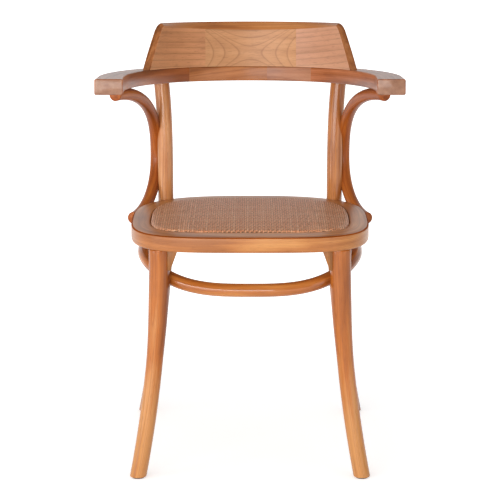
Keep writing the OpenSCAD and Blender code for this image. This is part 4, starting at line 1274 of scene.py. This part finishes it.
tree.links.new(lift, shader.inputs["Emission Strength"])
mesh.materials.append(white)
print("floor:", floor.name)

# %% [markdown]
# The room around it. The camera sees plain white. What the lacquer mirrors is white from behind the
# chair and dim from the front and from above, as in a studio whose lamps are low, or else every level
# face would look hazy. As a light the room is weak, so that the wood keeps its colour. A picture of a
# room would do the same, but no image goes into this file.

# %% World
world = bpy.data.worlds.new("white_room")
bpy.context.scene.world = world
world.use_nodes = True
tree = world.node_tree
tree.nodes.clear()
path = add(tree, "LightPath", {})
way = add(tree, "SeparateXYZ", {"Vector": add(tree, "TexCoord", {}).outputs["Generated"]})
ceiling = add(tree, "MapRange", {"Value": way.outputs["Z"], "From Min": 0.3, "From Max": 0.8,
                                 "To Min": 1.0, "To Max": 0.15}, interpolation_type="SMOOTHSTEP").outputs[0]
front = add(tree, "MapRange", {"Value": way.outputs["Y"], "From Min": -0.1, "From Max": 0.6,
                               "To Min": 0.2, "To Max": 1.0}, interpolation_type="SMOOTHSTEP").outputs[0]
room = add(tree, "Math", {0: ceiling, 1: front}, operation="MULTIPLY").outputs[0]
glossy = add(tree, "Math", {0: path.outputs["Is Glossy Ray"], 1: path.outputs["Is Transmission Ray"]},
             operation="MAXIMUM").outputs[0]
soft = add(tree, "MapRange", {"Value": way.outputs["Z"], "From Max": 0.7, "To Min": 0.24,
                              "To Max": 0.56}).outputs[0]
room = add(tree, "MapRange", {"Value": glossy, "To Min": soft, "To Max": room}).outputs[0]
strength = add(tree, "MapRange", {"Value": path.outputs["Is Camera Ray"], "To Min": room,
                                  "To Max": 1.0}).outputs[0]
light = add(tree, "Background", {"Color": (1, 1, 1, 1), "Strength": strength})
add(tree, "OutputWorld", {"Surface": light.outputs["Background"]})
print("world:", world.name)

# %% [markdown]
# The photograph's light is low and from the front: level tops are lit by little but their sheen, and
# round rods have a pale band just left of their middle. A sun lamp would draw that band too thin and
# the shadows too hard. So a wide soft box stands low beside the camera, a second one lights the left
# flanks, and a weak one fills the right side.

# %% Lamps
CHAIR_MIDDLE = Vector((0, 0, 0.5))


def soft_box(name, spot, width, height, watts):
    """An area lamp that faces the chair's middle"""
    lamp = bpy.data.lights.new(name, "AREA")
    lamp.shape, lamp.size, lamp.size_y, lamp.energy = "RECTANGLE", width, height, watts
    obj = bpy.data.objects.new(name, lamp)
    obj.location = spot
    obj.rotation_euler = (CHAIR_MIDDLE - Vector(spot)).to_track_quat("-Z", "Y").to_euler()
    bpy.context.scene.collection.objects.link(obj)


soft_box("key_front_left", (-1.35, -4.1, 1.0), 3.6, 1.1, 114)
soft_box("side_left", (-3.1, -1.7, 0.9), 1.6, 2.0, 31)
soft_box("fill_right", (2.7, -3.0, 1.0), 2.0, 2.0, 19)

# %% [markdown]
# The camera stands where the photograph was taken from: 4 m in front, 1.2 m above the floor, tilted
# down by 11.6 degrees. The place was found by fitting the outlines of seat, arms, legs and back
# together, because a wrong distance bends them against each other.

# %% Camera
lens = bpy.data.cameras.new("camera")
lens.sensor_width = 36
lens.lens = 154.596
camera = bpy.data.objects.new("camera", lens)
camera.location = (0, -4.04404, 1.212)
camera.rotation_euler = (math.pi / 2 - 0.203, 0, 0)
bpy.context.scene.collection.objects.link(camera)
bpy.context.scene.camera = camera
bpy.context.scene.view_settings.view_transform = "Standard"
print("camera lens in mm:", lens.lens)
